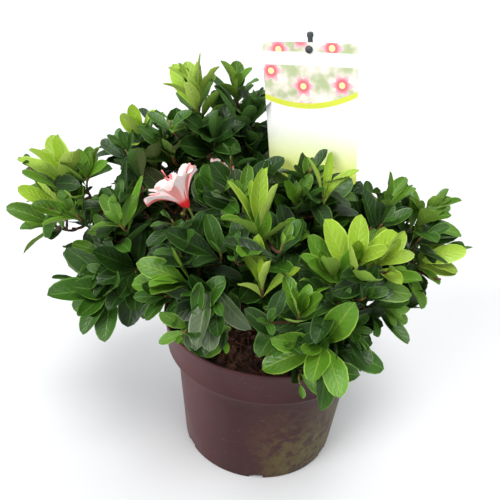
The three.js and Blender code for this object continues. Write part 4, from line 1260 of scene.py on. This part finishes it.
def make_pot(settings):
    s = settings
    shelf = s.height - s.band_height
    lip = 0.0008

    def body(height):
        return s.base_radius + (s.body_top_radius - s.base_radius) * height / shelf
    ridge = 0.0006
    profile = [
        (0, 0.0012), (s.base_radius * 0.55, 0.0012), (s.base_radius * 0.6, 0.0004),
        (s.base_radius - 0.006, 0), (s.base_radius - 0.0012, 0), (s.base_radius, 0.0012),
        (body(0.006), 0.006), (body(0.03), 0.03), (body(0.06), 0.06), (body(0.09), 0.09),
        (body(shelf - 0.002), shelf - 0.002), (body(shelf) + 0.0008, shelf - 0.0004),
        (s.band_foot_radius - 0.0016, shelf), (s.band_foot_radius - 0.0003, shelf + 0.0005),
        (s.band_foot_radius, shelf + 0.0016), (s.band_foot_radius + ridge, shelf + 0.0026),
        (s.band_foot_radius + ridge, shelf + 0.0036), (s.band_foot_radius + 0.0003, shelf + 0.0048),
        (s.rim_radius - 0.0012, s.height - 0.005), (s.rim_radius - 0.0003, s.height - 0.0035),
        (s.rim_radius, s.height - 0.0024), (s.rim_radius, s.height - lip),
        (s.rim_radius - lip * 0.4, s.height - lip * 0.2), (s.rim_radius - lip * 1.2, s.height),
        (s.rim_radius - s.wall + 0.0004, s.height - 0.0002), (s.rim_radius - s.wall, s.height - 0.001),
        (s.band_foot_radius - s.wall, shelf + s.wall), (s.body_top_radius - s.wall, shelf + s.wall - 0.0006),
        (body(0.05) - s.wall, 0.05), (body(s.floor) - s.wall, s.floor + 0.001),
        (body(s.floor) - s.wall - 0.0015, s.floor), (0, s.floor),
    ]
    shell = mesh_from(spun(profile, s.segments), "pot_shell")
    piece = finish_piece("pot_shell", shell, pot_material(s), ["pot"])
    bm = bmesh.new()
    for number in range(s.notches):
        angle = (number + 0.5) * 2 * math.pi / s.notches
        size = Matrix.Diagonal((2 * s.notch_depth, s.notch_width, 2 * s.notch_height, 1))
        turn = Matrix.Rotation(angle, 4, "Z")
        bmesh.ops.create_cube(bm, size=1, matrix=turn @ Matrix.Translation((s.base_radius, 0, 0)) @ size)
    edges = [edge for edge in bm.edges if edge.calc_length() > s.notch_depth * 1.9]
    bmesh.ops.bevel(bm, geom=edges, offset=0.0012, segments=3, affect="EDGES", profile=0.5, material=-1)
    cutter = bpy.data.objects.new("notch_cutter", mesh_from(bm, "notch_cutter"))
    bpy.context.collection.objects.link(cutter)
    cut = piece.modifiers.new("notches", "BOOLEAN")
    cut.operation, cut.object, cut.solver = "DIFFERENCE", cutter, "EXACT"
    depsgraph = bpy.context.evaluated_depsgraph_get()
    notched = bpy.data.meshes.new_from_object(piece.evaluated_get(depsgraph))
    piece.modifiers.clear()
    piece.data = notched
    notched.name = "pot_shell"
    notched.set_sharp_from_angle(angle=math.radians(38))
    bpy.data.objects.remove(cutter)


def mix_height(x, y, roughness):
    """Height of the mix's uneven top."""
    level = MIX_LEVEL + MIX_CROWN * max(0, 1 - math.hypot(x, y) / 0.06)
    rough = noise.fractal(Vector((x * 90, y * 90, 3.0)), 0.8, 2.1, 4)
    return level + rough * roughness


def make_mix(settings):
    bm = bmesh.new()
    bmesh.ops.create_circle(bm, cap_ends=True, cap_tris=True, segments=72, radius=MIX_RADIUS)
    bmesh.ops.subdivide_edges(bm, edges=bm.edges, cuts=15, use_grid_fill=True)
    bmesh.ops.triangulate(bm, faces=[face for face in bm.faces if len(face.verts) > 4])
    for vert in bm.verts:
        edge = min(1, math.hypot(vert.co.x, vert.co.y) / MIX_RADIUS)
        vert.co.z = mix_height(vert.co.x, vert.co.y, settings.roughness * (1.6 - edge))
    rim = [edge for edge in bm.edges if edge.is_boundary]
    wall = bmesh.ops.extrude_edge_only(bm, edges=rim)["geom"]
    low = [item for item in wall if isinstance(item, bmesh.types.BMVert)]
    for vert in low:
        vert.co.z = MIX_LEVEL - 0.018
        vert.co.xy *= 0.975
    bmesh.ops.contextual_create(bm, geom=[edge for edge in bm.edges if edge.is_boundary])
    bmesh.ops.recalc_face_normals(bm, faces=bm.faces)
    deep, light = (*settings.deep_colour, 1), (*settings.light_colour, 1)
    surface = mix_material("potting_mix_bed", deep, light)
    finish_piece("mix_bed", mesh_from(bm, "mix_bed"), surface, ["potting_mix"])

    draw = seeded(CHIPS["seed"])
    shapes = [chip_shape(number, draw) for number in range(CHIPS["shapes"])]
    bm = bmesh.new()
    for number in range(settings.chips):
        radius = MIX_RADIUS * 0.975 * math.sqrt(draw())
        angle = draw() * 2 * math.pi
        x, y = radius * math.cos(angle), radius * math.sin(angle)
        size = between(draw, CHIPS["least"], CHIPS["most"])
        size *= 1 if draw() < CHIPS["common"] else CHIPS["large"]
        heading = Matrix.Rotation(draw() * 2 * math.pi, 4, "Z")
        turn = heading @ Matrix.Rotation(between(draw, -CHIPS["tilt"], CHIPS["tilt"]), 4, "X")
        height = mix_height(x, y, settings.roughness) + size * CHIPS["raised"]
        place = Matrix.Translation((x, y, height))
        add_copy(bm, shapes[number % len(shapes)], place @ turn @ Matrix.Scale(size, 4), draw())
    chips = mix_material("bark_chips", shaded(deep, 1.8), shaded(light, 1.5))
    finish_piece("mix_chips", mesh_from(bm, "mix_chips"), chips, ["potting_mix"], 35)

    strands = []
    for _ in range(settings.fibres):
        radius, angle = FIBRES["reach"] * math.sqrt(draw()), draw() * 2 * math.pi
        at = Vector((radius * math.cos(angle), radius * math.sin(angle), 0))
        heading, reach = draw() * 2 * math.pi, between(draw, FIBRES["least"], FIBRES["most"])
        points = []
        for step in range(FIBRES["steps"] + 1):
            x, y = at.x, at.y
            if math.hypot(x, y) > FIBRES["edge"]:
                break
            lift = 0.8 + 1.2 * math.sin(step * 0.6)
            points.append(Vector((x, y, mix_height(x * MM, y * MM, settings.roughness) / MM + lift)))
            heading += between(draw, -FIBRES["turn"], FIBRES["turn"])
            at += Vector((math.cos(heading), math.sin(heading), 0)) * reach / FIBRES["steps"]
        if len(points) > 2:
            thick = between(draw, FIBRES["thinnest"], FIBRES["thickest"])
            strands.append((points, tapered(len(points), thick, FIBRES["tip"])))
    fibres = plain_material("fibres", "#5a3424", "#8a6244", 0.85, 0.2)
    finish_piece("mix_fibres", tube_mesh("mix_fibres", strands, 0), fibres, ["potting_mix"])


def chip_shape(number, draw):
    """A broken flake of bark about one unit long."""
    bm = bmesh.new()
    bmesh.ops.create_icosphere(bm, subdivisions=1, radius=0.5)
    size = Matrix.Diagonal((1, between(draw, 0.4, 0.8), between(draw, 0.22, 0.42)))
    for vert in bm.verts:
        vert.co = size @ (vert.co * between(draw, 0.7, 1.25))
    tone = bm.verts.layers.float.new("leaf_tone")
    for vert in bm.verts:
        vert[tone] = 0
    return mesh_from(bm, f"chip_shape_{number}")


def add_copy(bm, template, place, shade):
    """Adds a placed copy of a small mesh, with its own shade."""
    copy = template.copy()
    copy.transform(place)
    tones = copy.attributes["leaf_tone"].data
    tones.foreach_set("value", [shade] * len(tones))
    bm.from_mesh(copy)
    bpy.data.meshes.remove(copy)


def make_label():
    width, height = LABEL["width"] * MM, LABEL["height"] * MM
    top = (LABEL["card_top"] - LABEL["level"]) * MM
    thickness, front = LABEL["thickness"] * MM, -(LABEL["stick_radius"] + GAP) * MM
    place = Matrix.Scale(MM, 4) @ LABEL_PLACE @ Matrix.Scale(1 / MM, 4)
    bm = bmesh.new()
    bmesh.ops.create_cube(bm, size=1, matrix=Matrix.Diagonal((width, thickness, height, 1)))
    corners = [edge for edge in bm.edges if abs(edge.verts[0].co.y - edge.verts[1].co.y) > thickness / 2]
    bmesh.ops.bevel(bm, geom=corners, offset=LABEL["corner"] * MM, segments=8,
                    affect="EDGES", profile=0.5, material=-1)
    for number in range(1, 12):
        cut = bm.verts[:] + bm.edges[:] + bm.faces[:]
        across = (number / 12 - 0.5) * width
        bmesh.ops.bisect_plane(bm, geom=cut, plane_co=(across, 0, 0), plane_no=(1, 0, 0))
    uv = bm.loops.layers.uv.new("UVMap")
    for face in bm.faces:
        for loop in face.loops:
            co = loop.vert.co
            back = 2 if face.normal.y > 0.5 else 0
            loop[uv].uv = (co.x / width + 0.5 + back, co.z / height + 0.5)
    for vert in bm.verts:
        bow = (vert.co.x / width * 2) ** 2 * LABEL["bow"] * MM
        vert.co += Vector((0, front - thickness / 2 - bow, top - height / 2))
    bmesh.ops.transform(bm, matrix=place, verts=bm.verts)
    card = mesh_from(bm, "label_print")
    finish_piece("label_print", card, card_material(), ["label_card"], 30)

    rod = LABEL["stick_radius"] * MM
    over = top + LABEL["stick_over"] * MM
    profile = [(0, -LABEL["depth"] * MM), (rod * 0.5, -LABEL["depth"] * MM + 0.002),
               (rod, -LABEL["depth"] * MM + 0.008), (rod, over - 0.004), (rod * 1.25, over - 0.0036),
               (rod * 1.35, over - 0.002), (rod * 1.15, over - 0.0005), (rod * 0.6, over), (0, over)]
    bm = spun(profile, 20)
    stud = top - LABEL["stud_below"] * MM
    reach = LABEL["stud_radius"] * MM
    head = [(0, 0.0021), (reach * 0.5, 0.0019), (reach * 0.9, 0.0012), (reach, 0.0004), (reach * 0.95, 0),
            (reach * 0.5, -0.0001), (reach * 0.5, -0.003), (0, -0.003)]
    cap = spun(head, 20)
    out = Matrix.Translation((0, front - thickness - 0.0003, stud)) @ Matrix.Rotation(math.pi / 2, 4, "X")
    bmesh.ops.transform(cap, matrix=out, verts=cap.verts)
    cap_mesh = mesh_from(cap, "stud")
    bm.from_mesh(cap_mesh)
    bpy.data.meshes.remove(cap_mesh)
    bmesh.ops.transform(bm, matrix=place, verts=bm.verts)
    stick = plain_material("label_stick", "#34393c", "#4b5154", 0.42)
    finish_piece("label_rod", mesh_from(bm, "label_rod"), stick, ["label_stick"], 40)


# Shrub

def bark_mesh(name, strands, relief):
    """Tubes whose skin rises and falls like thin flaking bark."""
    mesh = tube_mesh(name, strands, 4)
    bm = bmesh.new()
    bm.from_mesh(mesh)
    bm.normal_update()
    for vert in bm.verts:
        at = vert.co * 1000
        rise = noise.fractal(Vector((at.x * 0.35, at.y * 0.35, at.z * 0.12)), 0.7, 2.2, 4)
        knots = max(0, noise.noise(at * 0.09) - 0.25)
        vert.co += vert.normal * (rise * relief + knots * relief * 2.5)
    bm.to_mesh(mesh)
    bm.free()
    return mesh


def make_trunk_and_limbs(settings, bends):
    step = settings.bark_step / MM
    height = TRUNK["height"]
    heights = [number * step for number in range(-3, int(height / step) + 1)]
    radii = []
    for z in heights:
        share = max(0, z / height)
        flare = (TRUNK["foot_radius"] - TRUNK["neck_radius"]) * (1 - share) ** TRUNK["flare_power"]
        radii.append(TRUNK["neck_radius"] + (TRUNK["tip_radius"] - TRUNK["neck_radius"]) * share + flare)
    trunk = [([trunk_point(z) if z > 0 else trunk_point(0) + UP * z for z in heights], radii)]
    bark = bark_material("bark", "#4a3324", "#7d6450", "#6e4630")
    finish_piece("trunk_bark", bark_mesh("trunk_bark", trunk, settings.bark_relief * 1.6),
                 bark, ["trunk"])
    strands = []
    for limb in LIMBS:
        size = SIDE_BOUGH if limb.on else BOUGH
        bend = bends[limb.name]
        count = max(6, int(bend.lengths[-1] / step))
        points = [bend.point(number / (count - 1)) for number in range(count)]
        strands.append((points, tapered(count, size["foot_radius"], size["tip_radius"])))
    nodes = [f"bough_{limb.name}" for limb in LIMBS]
    finish_piece("boughs_bark", bark_mesh("boughs_bark", strands, settings.bark_relief), bark, nodes)


def make_foliage(settings, spaces, bends):
    grown_twigs = []
    for mass in MASSES:
        twigs, shoots = grow_mass(mass, spaces[mass.name], bends[mass.limb])
        grown_twigs += zip(twigs, [None] + shoots)
    crown, bare = Crown(), []
    for shoot in sorted((shoot for _, shoot in grown_twigs if shoot), key=lambda shoot: shoot.rank):
        draw = seeded(round(shoot.site.dot(SHOOT_SEEDS)))
        if is_taken(shoot) or not crown.add_spray(shoot, spaces[shoot.mass.name], draw):
            bare.append(shoot)
    woody, green, feet = [], [], []
    for twig, shoot in reversed(grown_twigs):
        radii = tapered(len(twig.points), *twig.radii)
        if shoot in bare:
            cut = BARE["points"]
            if not any((foot - point).length < BARE["near"] for foot in feet for point in twig.points):
                continue
        else:
            cut = len(radii) - 3
            green.append((twig.points[cut:], radii[cut:]))
        woody.append((twig.points[:cut + 1], radii[:cut + 1]))
        feet.append(twig.points[0])
    nodes = [f"foliage_{mass.name}" for mass in MASSES]
    old = bark_material("twigs", "#3f2b1c", "#6e5238", "#5c3a24")
    young = bark_material("young_twigs", "#5d4a22", "#85883a", "#8a4e34")
    finish_piece("twigs_woody", tube_mesh("twigs_woody", woody, 1), old, nodes)
    finish_piece("twigs_green", tube_mesh("twigs_green", green, 1), young, nodes)
    templates = leaf_templates(SPRAY["width"], settings.leaf_shapes, LEAF_SHAPE_SEED)
    for tone in TONES:
        leaves = [leaf for leaf in crown.leaves if leaf.tone == tone]
        material = leaf_material(tone)
        for number, start in enumerate(range(0, len(leaves), settings.leaves_in_piece)):
            name = f"leaves_{tone}_{number + 1}"
            batch = leaves[start:start + settings.leaves_in_piece]
            mesh = leaf_mesh(name, batch, templates, SPRAY["width"])
            finish_piece(name, mesh, material, nodes)


def petal_shape(name, reach, tube, turn_out, ruffle, phase):
    """One petal from the blossom's foot, along +Z and then out along +Y."""
    bm, _, place = thin_sheet(*PETAL_GRID, lambda along: along)
    for vert, (across, share) in place.items():
        rounded = PETAL["round"] * abs(across) ** PETAL["round_power"]
        beyond = max(0, share - PETAL["round_from"]) / (1 - PETAL["round_from"])
        reached = share * (1 - rounded * beyond)
        opened = min(1, reached / tube)
        out = max(0, reached - tube) / (1 - tube)
        spread = PETAL["spread"] * out ** PETAL["spread_power"]
        radius = reach * (PETAL["foot"] + PETAL["throat"] * opened + spread)
        height = reach * (PETAL["tube_rise"] * opened + turn_out * math.sin(out * PETAL["turn"]))
        half = math.radians(PETAL["half_angle"]) * (1 + PETAL["belly"] * math.sin(out * math.pi))
        half *= 1 - PETAL["narrowing"] * out ** 4
        ripple = math.sin(across * PETAL["waves"] + phase + share * PETAL["slant"])
        wave = ruffle * reach * out ** 2 * ripple
        cup = PETAL["cup"] * reach * out * (across ** 2)
        angle = across * half
        frill = reach * PETAL["frill"] * math.sin(across * PETAL["frills"] + phase * 2) * out ** 3
        vert.co = Vector((radius * math.sin(angle), radius * math.cos(angle), height + wave + cup + frill))
    _, inner = under_side(bm)
    bm.normal_update()
    for vert in inner:
        vert.co += vert.normal * PETAL_THICKNESS
    bmesh.ops.remove_doubles(bm, verts=bm.verts, dist=1e-6)
    bmesh.ops.recalc_face_normals(bm, faces=bm.faces)
    return mesh_from(bm, name)


def make_blossoms(settings):
    petals = bmesh.new()
    stamens, calyx = [], []
    for blossom in BLOSSOMS:
        draw = seeded(blossom.seed)
        axis = Vector(blossom.axis).normalized()
        foot = Vector(blossom.foot)
        stand = axis.to_track_quat("Z", "Y").to_matrix().to_4x4()
        place = Matrix.Translation(foot * MM) @ stand
        rings = ((settings.petals, 1.0, 0.62, 0.0), (settings.inner_petals, 0.84, 0.9, 0.6))
        for count, scale, turn_out, start in rings:
            for number in range(count):
                reach = blossom.reach * MM * scale * between(draw, 0.93, 1.06)
                shape = petal_shape("petal_shape", reach, PETAL["tube"], turn_out * between(draw, 0.7, 1.3),
                                    between(draw, 0.06, 0.12), draw() * 6)
                angle = start + number * 2 * math.pi / count + between(draw, -0.08, 0.08)
                add_copy(petals, shape, place @ Matrix.Rotation(angle, 4, "Z"), draw())
                bpy.data.meshes.remove(shape)
        for number in range(settings.stamens + 1):
            angle = draw() * 2 * math.pi
            lean = between(draw, *STAMEN["lean"]) if number else PISTIL["lean"]
            top = blossom.reach * (STAMEN if number else PISTIL)["reach"]
            points = []
            for step in range(STAMEN["steps"] + 1):
                t = step / STAMEN["steps"]
                off = leaning(axis, lean * t, angle) * (top * t)
                points.append(foot + off + axis * 2)
            radii = tapered(STAMEN["steps"], *STAMEN["radii"]) + [STAMEN["anther"]]
            stamens.append((points, radii))
        for number in range(CALYX["lobes"]):
            direction = leaning(axis, CALYX["lean"], number * 2 * math.pi / CALYX["lobes"])
            tip = foot + direction * CALYX["reach"]
            calyx.append(([foot - axis, blend_of(foot, tip, 0.5) + axis, tip], CALYX["radii"]))
        stalk = [foot - axis * 14 + UP * -4, foot - axis * 6, foot + axis]
        calyx.append((smooth_path(stalk, 5), tapered(6, *CALYX["stalk_radii"])))
    node = ["foliage_blossom"]
    finish_piece("blossom_petals", mesh_from(petals, "blossom_petals"), petal_material(), node)
    red = plain_material("stamens", "#e0596a", "#f2b7b0", 0.5)
    finish_piece("blossom_stamens", tube_mesh("blossom_stamens", stamens, 1), red, node)
    pale = plain_material("calyx", "#7c8f3c", "#a8b460", 0.6)
    finish_piece("blossom_stalks", tube_mesh("blossom_stalks", calyx, 1), pale, node)


# Stage

def aim(thing, place, target):
    thing.location = place
    thing.rotation_euler = (Vector(target) - Vector(place)).to_track_quat("-Z", "Y").to_euler()


def soft_sun(name, towards, spread, power, tone):
    data = bpy.data.lights.new(name, "SUN")
    data.angle, data.energy, data.color = math.radians(spread), power, tone
    light = bpy.data.objects.new(name, data)
    bpy.context.collection.objects.link(light)
    aim(light, towards, (0, 0, 0))


def make_stage(settings):
    bm = bmesh.new()
    bmesh.ops.create_grid(bm, x_segments=40, y_segments=40, size=14)
    floor = bpy.data.objects.new("floor", mesh_from(bm, "floor"))
    bpy.context.collection.objects.link(floor)
    material, t, shader = new_material("floor", Specular_IOR_Level=0.2)
    base = (*settings.floor_colour, 1)
    t.feed(shader["Base Color"], t.mix(t.noise(t.place(), 3.0, 2), base, shaded(base, 0.985)))
    shader["Roughness"].default_value = 0.7
    floor.data.materials.append(material)

    world = bpy.data.worlds.new("studio")
    world.use_nodes = True
    background = world.node_tree.nodes["Background"]
    background.inputs["Color"].default_value = SKY["colour"]
    background.inputs["Strength"].default_value = SKY["strength"]
    bpy.context.scene.world = world
    bpy.context.scene.view_settings.view_transform = "Standard"
    for sun in SUNS:
        soft_sun(*sun)

    camera_data = bpy.data.cameras.new("camera")
    camera_data.lens, camera_data.sensor_width = settings.lens, 36
    camera_data.clip_start = 0.01
    camera = bpy.data.objects.new("camera", camera_data)
    bpy.context.collection.objects.link(camera)
    cos_p, sin_p = math.cos(settings.pitch), math.sin(settings.pitch)
    cos_r, sin_r = math.cos(settings.roll), math.sin(settings.roll)
    ahead, above, right = Vector((0, cos_p, -sin_p)), Vector((0, sin_p, cos_p)), Vector((1, 0, 0))
    turned_right = right * cos_r + above * sin_r
    turned_up = above * cos_r - right * sin_r
    axes = Matrix((turned_right, turned_up, -ahead)).transposed().to_4x4()
    camera.matrix_world = Matrix.Translation(settings.place) @ axes
    bpy.context.scene.camera = camera


# Operators

def grown():
    """The spaces of the masses and the bends of the limbs."""
    spaces = {mass.name: Space(mass) for mass in MASSES}
    return spaces, grow_limbs(spaces)


class AZALEA_OT_stage(bpy.types.Operator):
    """Makes the floor, the lights and the camera"""

    bl_idname = "azalea.stage"
    bl_label = "Stage"

    def execute(self, context):
        make_stage(context.scene.azalea_stage)
        return {"FINISHED"}


class AZALEA_OT_pot(bpy.types.Operator):
    """Makes the nursery pot"""

    bl_idname = "azalea.pot"
    bl_label = "Pot"

    def execute(self, context):
        make_pot(context.scene.azalea_pot)
        return {"FINISHED"}


class AZALEA_OT_mix(bpy.types.Operator):
    """Makes the potting mix with its chips and fibres"""

    bl_idname = "azalea.mix"
    bl_label = "Potting mix"

    def execute(self, context):
        make_mix(context.scene.azalea_mix)
        return {"FINISHED"}


class AZALEA_OT_limbs(bpy.types.Operator):
    """Makes the trunk and the limbs with their bark"""

    bl_idname = "azalea.limbs"
    bl_label = "Trunk and limbs"

    def execute(self, context):
        make_trunk_and_limbs(context.scene.azalea_shrub, grown()[1])
        return {"FINISHED"}


class AZALEA_OT_foliage(bpy.types.Operator):
    """Makes the twigs and leaves of every mass"""

    bl_idname = "azalea.foliage"
    bl_label = "Foliage"

    def execute(self, context):
        make_foliage(context.scene.azalea_shrub, *grown())
        return {"FINISHED"}


class AZALEA_OT_blossoms(bpy.types.Operator):
    """Makes the blossoms"""

    bl_idname = "azalea.blossoms"
    bl_label = "Blossoms"

    def execute(self, context):
        make_blossoms(context.scene.azalea_blossoms)
        return {"FINISHED"}


class AZALEA_OT_label(bpy.types.Operator):
    """Makes the plant label and its stick"""

    bl_idname = "azalea.label"
    bl_label = "Label"

    def execute(self, context):
        make_label()
        return {"FINISHED"}


STEPS = (AZALEA_OT_stage, AZALEA_OT_pot, AZALEA_OT_mix, AZALEA_OT_limbs, AZALEA_OT_foliage,
         AZALEA_OT_blossoms, AZALEA_OT_label)


class AZALEA_PT_panel(bpy.types.Panel):
    """Lists the steps in order"""

    bl_idname = "AZALEA_PT_panel"
    bl_label = "Azalea shrub"
    bl_space_type = "VIEW_3D"
    bl_region_type = "UI"
    bl_category = "Azalea"

    def draw(self, context):
        for step in STEPS:
            self.layout.operator(step.bl_idname)


SETTINGS = {"azalea_pot": PotSettings, "azalea_mix": MixSettings, "azalea_shrub": ShrubSettings,
            "azalea_blossoms": BlossomSettings, "azalea_stage": StageSettings}


def register():
    for group in SETTINGS.values():
        bpy.utils.register_class(group)
    for step in STEPS:
        bpy.utils.register_class(step)
    bpy.utils.register_class(AZALEA_PT_panel)
    for name, group in SETTINGS.items():
        setattr(bpy.types.Scene, name, PointerProperty(type=group))


def unregister():
    for name in SETTINGS:
        delattr(bpy.types.Scene, name)
    bpy.utils.unregister_class(AZALEA_PT_panel)
    for step in reversed(STEPS):
        bpy.utils.unregister_class(step)
    for group in SETTINGS.values():
        bpy.utils.unregister_class(group)


def main():
    register()
    bpy.ops.azalea.stage()
    bpy.ops.azalea.pot()
    bpy.ops.azalea.mix()
    bpy.ops.azalea.limbs()
    bpy.ops.azalea.foliage()
    bpy.ops.azalea.blossoms()
    bpy.ops.azalea.label()
    bpy.context.view_layer.update()


if __name__ == "__main__":
    main()
